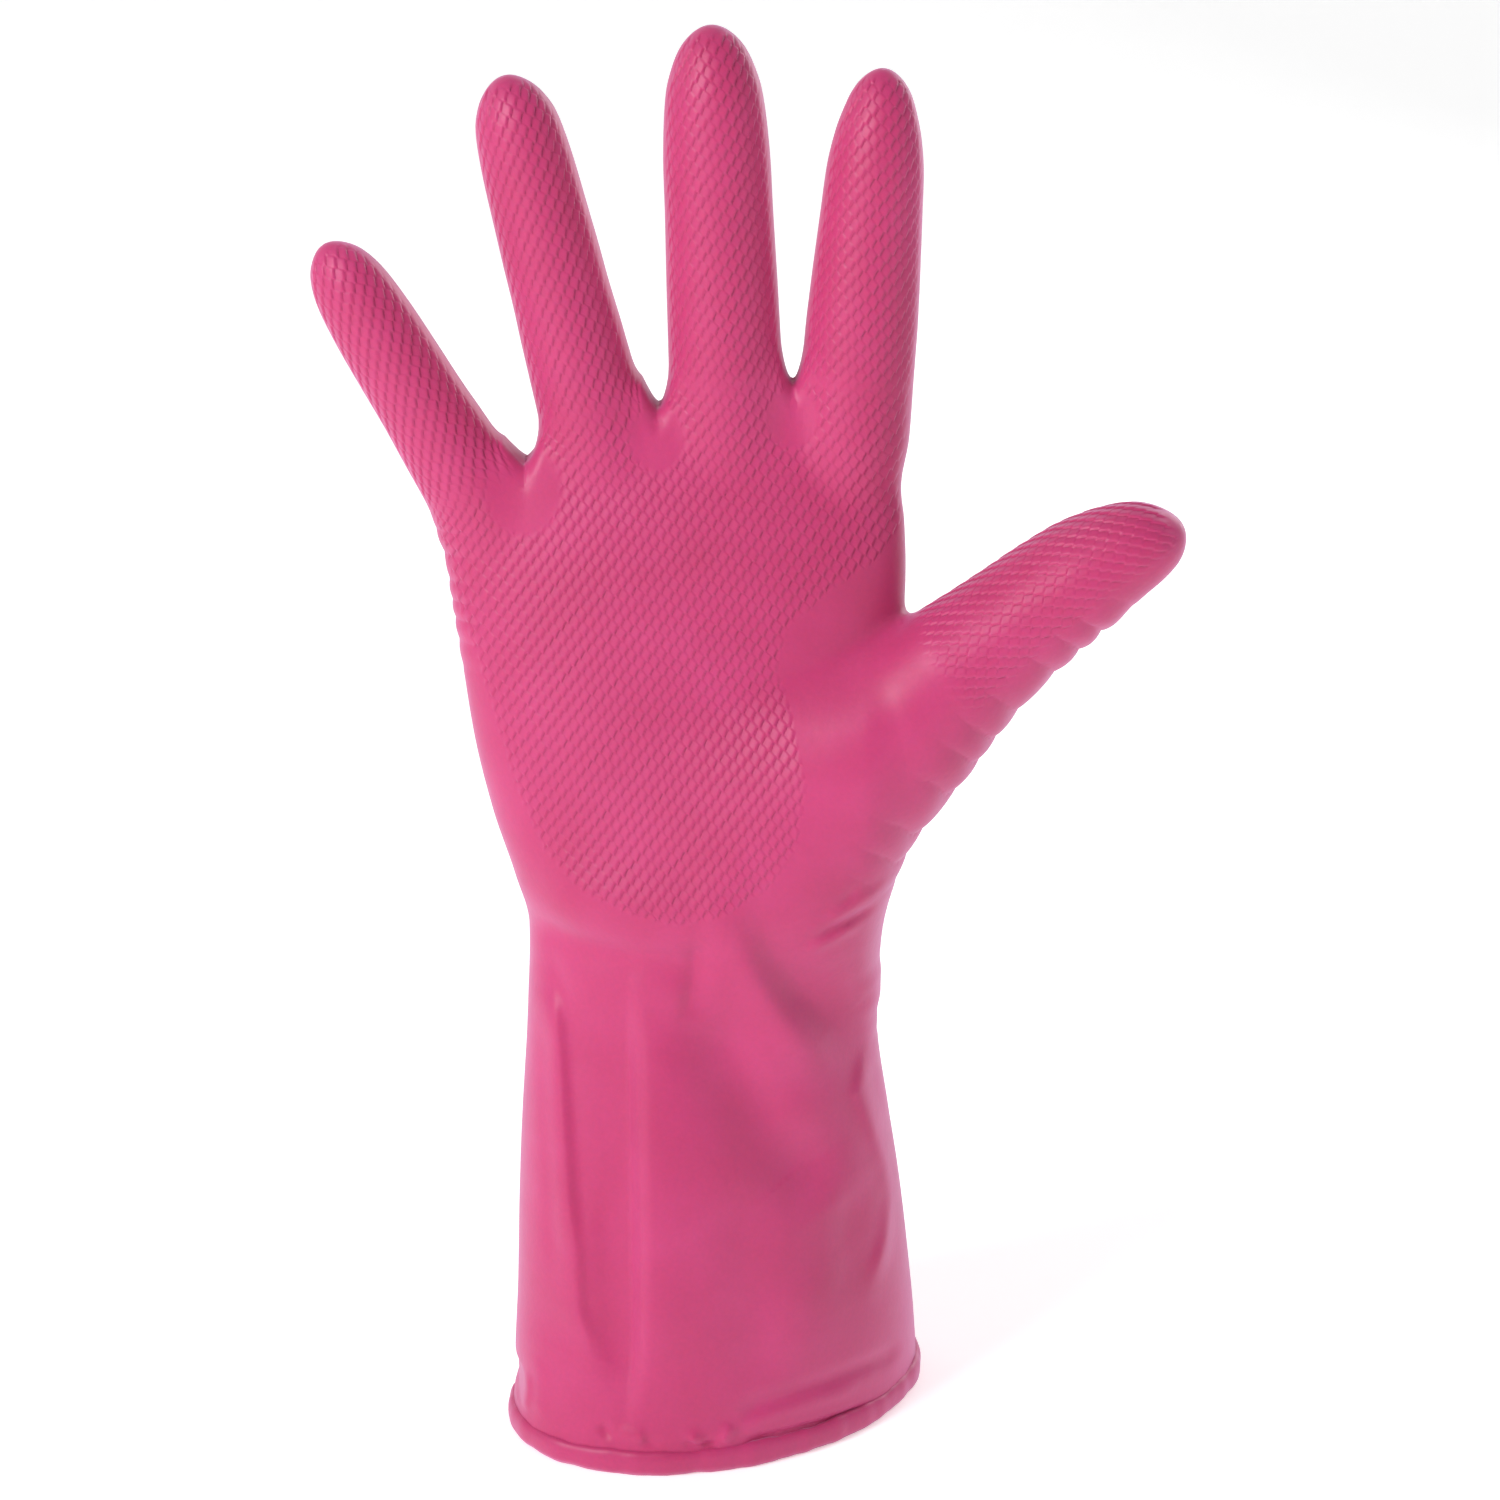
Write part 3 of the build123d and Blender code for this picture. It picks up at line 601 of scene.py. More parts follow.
# ---------------------------------------------------------------------------
# pieces: where the skin is cut and which bodies each stretch bends between
# ---------------------------------------------------------------------------
fold = next(joint for joint in frame["joints"] if joint["name"] == "knuckle_fold")
FOLD_POINT = np.array(fold["pos_m"]) * 1000.0
FOLD_UP = unit(np.cross(np.array([0, 1.0, 0]), -np.array(fold["axis"])))
FOLD_UP = FOLD_UP if FOLD_UP[2] > 0 else -FOLD_UP
CUT_WRIST, CUT_PALM = 107.5, 150.0    # heights
CUT_FOLD = -12.0                 # along FOLD_UP from the fold

# Links from the root of each digit to its tip, as depths below the tip: part, lower cut,
# where its bend starts, where the bend ends
CHAINS = {
    "little": [("root", 58.0, 57.5, 49.5), ("proximal", 49.5, 49.5, 37.5),
               ("middle", 37.0, 36.5, 23.5), ("tip", 22.5, 21.5, 9.5)],
    "ring": [("root", 69.5, 69.0, 61.0), ("proximal", 61.0, 61.0, 49.0),
             ("middle", 47.7, 46.5, 31.5), ("tip", 29.7, 28.0, 13.0)],
    "middle": [("proximal", 72.0, 70.0, 54.0), ("middle", 52.5, 51.0, 35.0),
               ("tip", 32.7, 30.5, 14.5)],
    "index": [("root", 65.0, 64.2, 56.2), ("proximal", 56.2, 56.2, 45.8),
              ("middle", 44.7, 43.5, 29.5), ("tip", 28.0, 26.5, 12.5)],
    "thumb": [("root", 58.0, 57.0, 46.0), ("proximal", 46.0, 46.0, 36.0),
              ("tip", 35.0, 34.0, 20.0)],
}
# A link's piece carries its link's name, which the next link records as its parent body
LINKS = {}
for digit, chain in CHAINS.items():
    if digit == "thumb":
        tip, along, parent_piece, parent_body = THUMB_TIP, THUMB_ALONG, "palm", "palm"
    else:
        tip, along = FRAMES[digit].tip, FRAMES[digit].along
        parent_piece, parent_body = "knuckle", "knuckles"
    for part, cut, bend_start, bend_end in chain:
        name = digit + "_" + part
        LINKS[name] = SimpleNamespace(
            digit=digit, tip=tip, along=along, parent_piece=parent_piece,
            parent_body=parent_body, cut=cut, bend_start=bend_start, bend_end=bend_end)
        parent_piece = parent_body = name

PIECES = ["cuff", "wrist", "palm", "knuckle", *LINKS]
PIECE_ID = {name: i for i, name in enumerate(PIECES)}


def nearest_finger(points, sideways_only=False):
    """Index of the finger whose surface is nearest."""
    gaps = []
    for finger in FRAMES.values():
        depth, side, front = finger_coords(points, finger)
        reach = np.abs(side) if sideways_only else np.hypot(side, front)
        gaps.append(reach - np.sqrt(np.maximum(finger_square(depth, finger), 0)))
    return np.argmin(np.stack(gaps), 0)


def classify(points):
    """Piece number of each point. Points near a web go to the nearest finger."""
    x, z = points[:, 0], points[:, 2]
    piece = np.full(len(points), PIECE_ID["palm"])
    piece[z < CUT_PALM] = PIECE_ID["wrist"]
    piece[z < CUT_WRIST] = PIECE_ID["cuff"]
    above_fold = (points - FOLD_POINT) @ FOLD_UP > CUT_FOLD
    piece[above_fold] = PIECE_ID["knuckle"]
    nearest = nearest_finger(points)
    regions = {name: (nearest == i) & above_fold for i, name in enumerate(FRAMES)}
    # the line halving the angle between the thumb and the palm's edge
    regions["thumb"] = (x > 34) & ((x - 40.8) * 0.896 - (z - 181.4) * 0.444 > 0)
    for name, link in LINKS.items():
        depth = -((points - link.tip) @ link.along)
        piece[regions[link.digit] & (depth < link.cut)] = PIECE_ID[name]
    return piece


centres = base_points[base_quads].mean(1)
above_rim = centres[:, 2] > CUT_RIM
base_quads = base_quads[above_rim]
face_piece = classify(centres[above_rim])

# Planes that cut neighbouring pieces apart: point on the plane, normal
seam_planes = {}


def add_seam(piece_a, piece_b, point, normal):
    pair = frozenset((PIECE_ID[piece_a], PIECE_ID[piece_b]))
    seam_planes[pair] = (np.asarray(point, float), unit(normal))


add_seam("cuff", "wrist", (0, 0, CUT_WRIST), (0, 0, 1))
add_seam("wrist", "palm", (0, 0, CUT_PALM), (0, 0, 1))
add_seam("palm", "knuckle", FOLD_POINT + FOLD_UP * CUT_FOLD, FOLD_UP)
for name, link in LINKS.items():
    add_seam(link.parent_piece, name, link.tip - link.along * link.cut, link.along)

# Lowest and highest piece number around each vertex
lowest_piece = np.full(BASE_COUNT, 10**6)
highest_piece = np.full(BASE_COUNT, -1)
for k in range(4):
    np.minimum.at(lowest_piece, base_quads[:, k], face_piece)
    np.maximum.at(highest_piece, base_quads[:, k], face_piece)
on_rim = np.zeros(BASE_COUNT, bool)
on_rim[open_edges(base_quads)[0].ravel()] = True


def snap_to_seams(points):
    """Moves the vertices between two pieces onto their plane, and the rim to its height."""
    for pair, (origin, normal) in seam_planes.items():
        first, second = sorted(pair)
        shared = np.nonzero((lowest_piece == first) & (highest_piece == second))[0]
        offset = (points[shared] - origin) @ normal
        close = np.abs(offset) < 1.6
        points[shared[close]] -= offset[close, None] * normal
    points[on_rim, 2] = CUT_RIM


on_border = np.nonzero((lowest_piece != highest_piece) | on_rim)[0]
for _ in range(3):
    snap_to_seams(base_points)
    base_points[on_border] = project(base_points[on_border], 1)
snap_to_seams(base_points)


# ---------------------------------------------------------------------------
# grip pattern
# ---------------------------------------------------------------------------
PITCH = 2.15
GROOVE_ANGLE = math.radians(51.0)
# Outline of the patterned palm: x, z
GRIP_OUTLINE = np.array([
    (-57, 196), (-54, 184), (-50.5, 175), (-46, 160), (-42, 146), (-36, 133), (-29, 126),
    (-18, 121.5), (-8, 119.5), (2, 122), (11, 128), (17, 137), (18.5, 150), (15.5, 164),
    (12.5, 172), (15, 181), (24, 188), (34, 194), (39, 201), (44, 212), (44, 240),
    (-80, 240), (-80, 214), (-66, 206)], float)
# Plain patches at the webs: x, z, half width
SMOOTH_WEBS = [(-39.5, 208.5, 8.5), (-12.0, 219.0, 6.0), (15.6, 223.0, 5.5)]


def depth_inside(x, z, outline):
    """Signed distance to a closed outline, positive inside."""
    distance = np.full(len(x), 1e9)
    inside = np.zeros(len(x), bool)
    for a, b in zip(outline, np.roll(outline, -1, 0)):
        side = b - a
        t = np.clip(((x - a[0]) * side[0] + (z - a[1]) * side[1]) / (side @ side), 0, 1)
        away = np.hypot(x - a[0] - t * side[0], z - a[1] - t * side[1])
        distance = np.minimum(distance, away)
        inside ^= ((a[1] > z) != (b[1] > z)) & (
            x < (b[0] - a[0]) * (z - a[1]) / (b[1] - a[1] + 1e-12) + a[0])
    return np.where(inside, distance, -distance)


def grip_coords(points, normals):
    """Pattern coordinates that unroll around each digit, and the pattern's strength."""
    x, z = points[:, 0], points[:, 2]
    u, v = x.copy(), z.copy()
    facing = -normals[:, 1]
    mask = smooth(-0.3, 0.9, depth_inside(x, z, GRIP_OUTLINE)) * smooth(0.42, 0.62, facing)
    for web_x, web_z, radius in SMOOTH_WEBS:
        away = np.hypot((x - web_x) / radius, (z - web_z) / (radius * 1.15))
        mask = mask * np.where(z < 245, smooth(0.82, 1.08, away), 1)

    nearest = nearest_finger(points, sideways_only=True)
    for i, finger in enumerate(FRAMES.values()):
        depth, side, front = finger_coords(points, finger)
        end = finger.grip_end
        root = finger.tip - finger.along * (end + 2)
        radius = np.sqrt(np.maximum(finger_square(depth, finger), 4.0))
        arc = radius * np.arcsin(np.clip(side / radius, -0.985, 0.985))
        own = (nearest == i) & (depth < end + 10)
        # the palm's pattern eases into the finger's
        weight = smooth(end + 6, end - 8, depth) * own
        u = np.where(own, (1 - weight) * u + weight * (root[0] + arc), u)
        v = np.where(own, (1 - weight) * v + weight * (root[2] + (end + 2 - depth)), v)
        angle = np.arctan2(side, front / FINGER_FLATNESS)
        strength = smooth(1.30, 1.02, np.abs(angle)) * smooth(1.0, 2.5, depth)
        handover = smooth(end, end - 6, depth)
        finger_mask = np.maximum(mask * (1 - handover), strength * handover * (facing > -0.1))
        mask = np.where(own & (depth < end), finger_mask, mask)

    depth, side, front = thumb_coords(points)
    radius = np.sqrt(np.maximum(np.interp(depth, THUMB_DEPTHS, THUMB_SQUARES), 4.0))
    angle = np.arctan2(side, front)
    own = (thumb_field(points) < 1.2) & (depth < 60) & (x > 40)
    strength = smooth(1.25, 1.0, np.abs(angle)) * smooth(1.0, 2.5, depth) * smooth(58, 52, depth)
    u = np.where(own, radius * angle + 7.3, u)
    v = np.where(own, -depth + 3.1, v)
    return u, v, np.where(own, strength, mask)


def grip_height(u, v):
    """Raised tilted pads in rows, each with a stepped groove on its lower right."""
    across = u * math.sin(GROOVE_ANGLE) - v * math.cos(GROOVE_ANGLE)
    along = u * math.cos(GROOVE_ANGLE) + v * math.sin(GROOVE_ANGLE)
    across, along = across / (PITCH * 1.02), along / (PITCH * 0.98)
    in_row = along - np.floor(along)
    across = across + 0.25 * (in_row - 0.5)        # every dash is steeper than its row
    in_pad = across - np.floor(across)
    # a pad rises towards its far edge, then drops into the groove
    climb = 0.35 + 0.65 * smooth(0.02, 0.80, in_pad)
    drop = smooth(1.0, 0.86, in_pad)
    row_edge = smooth(0.0, 0.13, in_row) * smooth(1.0, 0.90, in_row)
    lip = smooth(0.0, 0.10, in_pad)
    dash = smooth(0.0, 0.20, in_row) * smooth(1.0, 0.78, in_row)
    drop = 1 - (1 - drop) * (0.60 + 0.40 * dash)
    return climb * drop * (0.82 + 0.18 * row_edge) * (0.56 + 0.44 * lip)


def vertex_normals(points, quads, loops=()):
    normals = np.zeros((len(points), 3))
    face = np.cross(points[quads[:, 2]] - points[quads[:, 0]],
                    points[quads[:, 3]] - points[quads[:, 1]])
    for k in range(4):
        np.add.at(normals, quads[:, k], face)
    for loop in loops:
        corners = points[loop]
        area = np.cross(corners, np.roll(corners, -1, 0)).sum(0)
        normals[loop] += area / max(len(loop) / 4.0, 1)
    return normals / np.maximum(np.linalg.norm(normals, axis=1, keepdims=True), 1e-12)


# Faces with pattern, and their neighbours, are split finely
base_normals = vertex_normals(base_points, base_quads)
base_mask = grip_coords(base_points, base_normals)[2]
spread_mask = np.zeros(BASE_COUNT)
np.maximum.at(spread_mask, base_quads.ravel(), np.repeat(base_mask[base_quads].max(1), 4))
is_fine = spread_mask[base_quads].max(1) > 0.01
face_split = np.where(is_fine, FINE_SPLIT, COARSE_SPLIT)


# ---------------------------------------------------------------------------
# refined skin
# ---------------------------------------------------------------------------
def split_edges(quads, splits):
    """Unique base edges: key, ends, split and first new point; and each face's edges."""
    keys = edge_keys(quad_edges(quads))
    unique, inverse = np.unique(keys.ravel(), return_inverse=True)
    split = np.zeros(len(unique), int)
    np.maximum.at(split, inverse, np.repeat(splits, 4))
    return SimpleNamespace(keys=unique, of_face=inverse.reshape(keys.shape), split=split,
                           low=unique // BASE_COUNT, high=unique % BASE_COUNT,
                           first=np.zeros(len(unique), int))


def points_on_edge(edges, i):
    """New points of an edge, from its lower-numbered end."""
    return edges.first[i] + np.arange(edges.split[i] - 1)


def refine(points, quads, splits):
    """Subdivides each quad, with shared edge points; a coarse face beside a fine one
    becomes one polygon with all its edge points."""
    directed = quad_edges(quads)
    edges = split_edges(quads, splits)
    new_points = [points]
    total = len(points)
    for k in sorted(set(edges.split)):
        chosen = np.nonzero(edges.split == k)[0]
        edges.first[chosen] = total + np.arange(len(chosen)) * (k - 1)
        t = (np.arange(1, k) / k)[None, :, None]
        between = (points[edges.low[chosen]][:, None] * (1 - t)
                   + points[edges.high[chosen]][:, None] * t)
        new_points.append(between.reshape(-1, 3))
        total += len(chosen) * (k - 1)

    regular = (edges.split[edges.of_face] == splits[:, None]).all(1)
    new_quads, quad_owner = [], []
    for k in sorted(set(splits[regular])):
        faces = np.nonzero(regular & (splits == k))[0]
        quad = quads[faces]
        grid = np.zeros((len(faces), k + 1, k + 1), np.int64)
        grid[:, 0, 0], grid[:, k, 0], grid[:, k, k], grid[:, 0, k] = quad.T
        forward = directed[faces, :, 0] < directed[faces, :, 1]
        first = edges.first[edges.of_face[faces]]
        for j in range(1, k):
            for side, (row, column) in enumerate(((j, 0), (k, j), (k - j, k), (0, k - j))):
                grid[:, row, column] = first[:, side] + np.where(forward[:, side],
                                                                 j - 1, k - 1 - j)
        inner = np.arange(len(faces) * (k - 1) ** 2).reshape(len(faces), k - 1, k - 1) + total
        grid[:, 1:k, 1:k] = inner
        i, j = np.meshgrid(np.arange(1, k) / k, np.arange(1, k) / k, indexing="ij")
        weights = np.stack([(1 - i) * (1 - j), i * (1 - j), i * j, (1 - i) * j], -1)
        new_points.append(np.einsum("ijc,fcd->fijd", weights, points[quad]).reshape(-1, 3))
        total += inner.size
        new_quads.append(np.stack([grid[:, :-1, :-1], grid[:, 1:, :-1], grid[:, 1:, 1:],
                                   grid[:, :-1, 1:]], -1).reshape(-1, 4))
        quad_owner.append(np.repeat(faces, k * k))

    loops = []
    loop_owner = np.nonzero(~regular)[0]
    for face in loop_owner:
        loop = []
        for side in range(4):
            a, b = directed[face, side]
            between = points_on_edge(edges, edges.of_face[face, side])
            loop.append(a)
            loop.extend(between if a < b else between[::-1])
        loops.append(np.array(loop))
    return (np.concatenate(new_points), np.concatenate(new_quads), np.concatenate(quad_owner),
            loops, loop_owner, edges)


def straighten_seams(points, quads, edges):
    """Puts the new points of seam and rim edges back on their planes."""
    keys = edges.keys[edges.of_face].ravel()
    order = np.argsort(keys, kind="stable")
    faces = np.repeat(np.arange(len(quads)), 4)[order]
    first = np.searchsorted(keys[order], edges.keys)
    last = np.searchsorted(keys[order], edges.keys, side="right") - 1
    is_open = first == last
    piece_a, piece_b = face_piece[faces[first]], face_piece[faces[last]]
    for i in np.nonzero((piece_a != piece_b) | is_open)[0]:
        between = points_on_edge(edges, i)
        if is_open[i]:
            points[between, 2] = CUT_RIM
            continue
        plane = seam_planes.get(frozenset((int(piece_a[i]), int(piece_b[i]))))
        if plane is None:
            continue
        origin, normal = plane
        if all(abs((points[end] - origin) @ normal) < 1e-4
               for end in (edges.low[i], edges.high[i])):
            points[between] -= (((points[between] - origin) @ normal)[:, None]) * normal


plain_points, skin_quads, quad_owner, skin_loops, loop_owner, base_edges = refine(
    base_points, base_quads, face_split)
plain_points[BASE_COUNT:] = project(plain_points[BASE_COUNT:], 2)
straighten_seams(plain_points, base_quads, base_edges)

slope = gradient(plain_points, 0.2)
plain_normals = slope / np.maximum(np.linalg.norm(slope, axis=1, keepdims=True), 1e-9)
grip_u, grip_v, grip_mask = grip_coords(plain_points, plain_normals)
pad_height = grip_height(grip_u, grip_v) * grip_mask
skin_points = plain_points + plain_normals * (PAD_HEIGHT * (pad_height
                                                            - 0.55 * grip_mask))[:, None]
skin_normals = vertex_normals(skin_points, skin_quads, skin_loops)
# The grip attribute is painted shade: low values darken the colour in the grooves; the constant
# below is its value off the pattern, where nothing is darkened
NO_GROOVE_SHADE = 0.8
skin_groove_shade = np.where(grip_mask > 0.02, pad_height + (1 - grip_mask) * NO_GROOVE_SHADE, NO_GROOVE_SHADE)


# ---------------------------------------------------------------------------
# materials
# ---------------------------------------------------------------------------
MIX_A, MIX_B, MIX_RESULT = 6, 7, 2    # colour sockets of the Mix node


def add_node(tree, kind, location, inputs=None, **settings):
    node = tree.nodes.new(kind)
    node.location = location
    for name, value in settings.items():
        setattr(node, name, value)
    for name, value in (inputs or {}).items():
        node.inputs[name].default_value = value
    return node


def add_noise(tree, location, coords, **inputs):
    node = add_node(tree, "ShaderNodeTexNoise", location,
                    {name.capitalize(): value for name, value in inputs.items()})
    tree.links.new(coords, node.inputs["Vector"])
    return node


def add_ramp(tree, location, factor, stops):
    """Colour ramp through (position, rgb) stops; returns its colour."""
    node = add_node(tree, "ShaderNodeValToRGB", location)
    elements = node.color_ramp.elements
    while len(elements) < len(stops):
        elements.new(0.5)
    for element, (position, color) in zip(elements, stops):
        element.position = position
        element.color = (*color, 1)
    tree.links.new(factor, node.inputs["Fac"])
    return node.outputs["Color"]


def add_mix(tree, location, mode, factor, color_a, color_b):
    node = add_node(tree, "ShaderNodeMix", location, {"Factor": factor},
                    data_type="RGBA", blend_type=mode)
    tree.links.new(color_a, node.inputs[MIX_A])
    tree.links.new(color_b, node.inputs[MIX_B])
    return node.outputs[MIX_RESULT]


def add_bump(tree, location, height, strength, distance):
    """Bump node; the distance is in metres."""
    node = add_node(tree, "ShaderNodeBump", location,
                    {"Strength": strength, "Distance": distance})
    tree.links.new(height, node.inputs["Height"])
    return node


def start_material(name, coords_location, inputs):
    """New material; returns it with its tree, its shader and its object coordinates."""
    material = bpy.data.materials.new(name)
    material.use_nodes = True
    tree = material.node_tree
    tree.nodes.clear()
    output = add_node(tree, "ShaderNodeOutputMaterial", (900, 0))
    shader = add_node(tree, "ShaderNodeBsdfPrincipled", (600, 0), inputs)
    coords = add_node(tree, "ShaderNodeTexCoord", coords_location)
    tree.links.new(shader.outputs["BSDF"], output.inputs["Surface"])
    return material, tree, shader, coords.outputs["Object"]


def latex_material(name, shade=1.0):
    material, tree, shader, coords = start_material(name, (-1200, 0), {
        "Subsurface Weight": 0.06,
        "Subsurface Radius": (0.0022, 0.0006, 0.0009),
        "Subsurface Scale": 1.0,
        "Specular IOR Level": 0.42,
        "Sheen Weight": 0.46,
        "Sheen Roughness": 0.45,
        "Sheen Tint": (0.82, 0.62, 1.0, 1),
    })
    link = tree.links.new
    # broad unevenness of the dip
    uneven = add_noise(tree, (-900, 300), coords, scale=38.0, detail=5.0, roughness=0.55)
    pinks = [(0.25, (0.480, 0.027, 0.124)), (0.55, (0.525, 0.034, 0.152)),
             (0.85, (0.575, 0.045, 0.184))]
    pink = add_ramp(tree, (-650, 300), uneven.outputs["Fac"],
                    [(position, [c * shade for c in color]) for position, color in pinks])
    # fine speckle of the pigment
    speckle = add_noise(tree, (-900, 0), coords, scale=1100.0, detail=2.0)
    color = add_mix(tree, (-350, 250), "OVERLAY", 0.10, pink, speckle.outputs["Color"])
    # painted shade: the grip attribute darkens the grooves' colour below the pad tops
    grip = add_node(tree, "ShaderNodeAttribute", (-900, -300), attribute_name="grip")
    groove = add_ramp(tree, (-650, -300), grip.outputs["Fac"],
                      [(0.0, (0.62, 0.45, 0.52)), (0.35, (0.90, 0.85, 0.88)), (0.6, (1, 1, 1))])
    color = add_mix(tree, (-100, 200), "MULTIPLY", 0.75, color, groove)
    link(color, shader.inputs["Base Color"])
    # patchy roughness
    patches = add_noise(tree, (-900, -550), coords, scale=160.0, detail=4.0)
    rough = add_node(tree, "ShaderNodeMapRange", (-600, -550), {"To Min": 0.40, "To Max": 0.56})
    link(patches.outputs["Fac"], rough.inputs["Value"])
    link(rough.outputs["Result"], shader.inputs["Roughness"])
    # very fine pitting under a coarser grain
    pitting = add_noise(tree, (-900, -800), coords, scale=2400.0, detail=3.0)
    grain = add_noise(tree, (-900, -1050), coords, scale=420.0, detail=3.0)
    fine = add_bump(tree, (-350, -800), pitting.outputs["Fac"], strength=0.22, distance=0.00006)
    broad = add_bump(tree, (-100, -900), grain.outputs["Fac"], strength=0.25, distance=0.00015)
    link(fine.outputs["Normal"], broad.inputs["Normal"])
    link(broad.outputs["Normal"], shader.inputs["Normal"])
    return material


def flock_material(name):
    material, tree, shader, coords = start_material(name, (-1000, 0), {
        "Roughness": 0.95,
        "Sheen Weight": 0.6,
        "Sheen Roughness": 0.5,
        "Specular IOR Level": 0.1,
    })
    fibres = add_noise(tree, (-700, 200), coords, scale=1500.0, detail=6.0, roughness=0.7)
    pink = add_ramp(tree, (-400, 200), fibres.outputs["Fac"],
                    [(0.25, (0.70, 0.34, 0.45)), (0.5, (0.86, 0.55, 0.64)),
                     (0.8, (0.95, 0.76, 0.82))])
    clouds = add_noise(tree, (-700, -100), coords, scale=90.0, detail=3.0)
    grey = add_ramp(tree, (-400, -100), clouds.outputs["Fac"],
                    [(0.3, (0.86, 0.86, 0.86)), (0.7, (1, 1, 1))])
    color = add_mix(tree, (-100, 100), "MULTIPLY", 1.0, pink, grey)
    tree.links.new(color, shader.inputs["Base Color"])
    nap = add_bump(tree, (200, -300), fibres.outputs["Fac"], strength=0.8, distance=0.0003)
    tree.links.new(nap.outputs["Normal"], shader.inputs["Normal"])
    return material


LATEX = latex_material("latex_film")
LATEX_BEAD = latex_material("latex_bead", shade=0.97)
FLOCK = flock_material("cotton_flock")
for name, node_object in frame["nodes"].items():
    node_object.data.materials.clear()
    if name.endswith("lining"):
        node_object.data.materials.append(FLOCK)
    else:
        node_object.data.materials.append(LATEX_BEAD if name == "cuff_bead" else LATEX)


# ---------------------------------------------------------------------------
# objects
# ---------------------------------------------------------------------------
def face_layout(group):
    """Corner counts and flat corner indices of an array or a list of faces."""
    if isinstance(group, np.ndarray):
        return np.full(len(group), group.shape[1]), group.ravel()
    return np.array([len(face) for face in group]), np.concatenate(group)


def make_object(name, points, face_groups, material, normals=None, grip=None):
    mesh = bpy.data.meshes.new(name)
    sizes, corners = (np.concatenate(part) for part in zip(*map(face_layout, face_groups)))
    mesh.vertices.add(len(points))
    mesh.vertices.foreach_set("co", (points * MM).astype(np.float32).ravel())
    mesh.loops.add(len(corners))
    mesh.loops.foreach_set("vertex_index", corners.astype(np.int32))
    mesh.polygons.add(len(sizes))
    starts = np.r_[0, np.cumsum(sizes)[:-1]]
    mesh.polygons.foreach_set("loop_start", starts.astype(np.int32))
    mesh.polygons.foreach_set("loop_total", sizes.astype(np.int32))
    mesh.polygons.foreach_set("use_smooth", np.ones(len(sizes), bool))
    mesh.update(calc_edges=True)
    mesh.validate(clean_customdata=False)
    # painted shade: the grip attribute carries the grooves' darkening to the latex material
    if grip is not None:
        attribute = mesh.attributes.new("grip", "FLOAT", "POINT")
        attribute.data.foreach_set("value", grip.astype(np.float32))
    if normals is not None:
        mesh.normals_split_custom_set_from_vertices([tuple(normal) for normal in normals])
    made = bpy.data.objects.new(name, mesh)
    bpy.context.scene.collection.objects.link(made)
    mesh.materials.append(material)
    return made


def renumber(used, total, offset=0):
    """Lookup from old vertex numbers to their place in `used`, plus an offset."""
    lookup = -np.ones(total, np.int64)
    lookup[used] = offset + np.arange(len(used))
    return lookup


inner_points = base_points - base_normals * FILM_THICKNESS
lining_outer, lining_inner = (base_points - base_normals * depth for depth in LINING_DEPTHS)


def film_piece(name):
    """Detailed outer skin, plain inner skin and the rim between them."""
    piece = PIECE_ID[name]
    quads = skin_quads[face_piece[quad_owner] == piece]
    loops = [skin_loops[i] for i in np.nonzero(face_piece[loop_owner] == piece)[0]]
    base = base_quads[face_piece == piece]
    used = np.unique(np.concatenate([quads.ravel(), *loops]))
    used_base = np.unique(base)
    outer = renumber(used, len(skin_points))
    inner = renumber(used_base, BASE_COUNT, offset=len(used))

    rims = []
    border, keys = open_edges(base)
    for (a, b), i in zip(border, np.searchsorted(base_edges.keys, keys)):
        between = points_on_edge(base_edges, i)
        # a rim face walks the outer edge backwards, from b to a
        backwards = between[::-1] if a < b else between
        rims.append(np.r_[outer[b], outer[backwards], outer[a], inner[a], inner[b]])

    face_groups = [outer[quads]]
    if loops:
        face_groups.append([outer[loop] for loop in loops])
    face_groups += [inner[base][:, ::-1], rims]
    return make_object(
        name + "_skin", np.concatenate([skin_points[used], inner_points[used_base]]),
        face_groups, LATEX,
        normals=np.concatenate([skin_normals[used], -base_normals[used_base]]),
        grip=np.concatenate([skin_groove_shade[used], np.full(len(used_base), NO_GROOVE_SHADE)]))


def lining_piece(name):
    lowest = base_points[base_quads][:, :, 2].min(1)
    base = base_quads[(face_piece == PIECE_ID[name]) & (lowest > LINING_RIM)]
    used = np.unique(base)
    outer = renumber(used, BASE_COUNT)
    inner = renumber(used, BASE_COUNT, offset=len(used))
    a, b = open_edges(base)[0].T
    rim = np.stack([outer[b], outer[a], inner[a], inner[b]], 1)
    return make_object(
        name + "_flock", np.concatenate([lining_outer[used], lining_inner[used]]),
        [outer[base], inner[base][:, ::-1], rim], FLOCK,
        normals=np.concatenate([base_normals[used], -base_normals[used]]))


def attach(piece, name):
    """Ties the palm piece to the palm body; every other piece only has its transform baked into
    its mesh.
    """
    if name == "cuff":
        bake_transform(piece)
    elif name == "wrist":
        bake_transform(piece)
    elif name == "palm":
        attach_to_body(piece, "palm")
    elif name == "knuckle":
        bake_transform(piece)
    else:
        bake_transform(piece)


TRUNK_FILMS = {"cuff": ["cuff_film", "wrist_bend_band"],
               "wrist": ["wrist_film", "wrist_tilt_band"],
               "palm": ["palm_film"],
               "knuckle": ["knuckle_fold_band", "knuckle_film"]}


def replaced_nodes(name):
    """CAD nodes a piece's film stands in for, and the one its lining does."""
    if name in TRUNK_FILMS:
        return TRUNK_FILMS[name], name + "_lining"
    digit, part = name.split("_")
    if part == "root":
        return [digit + "_collar_film"], digit + "_collar_lining"
    films = [name + "_film"]
    if part != "proximal":
        films.append(name + "_joint_band")
    elif digit + "_root" not in LINKS:
        films.append(digit + "_root_band")
    return films, name + "_lining"


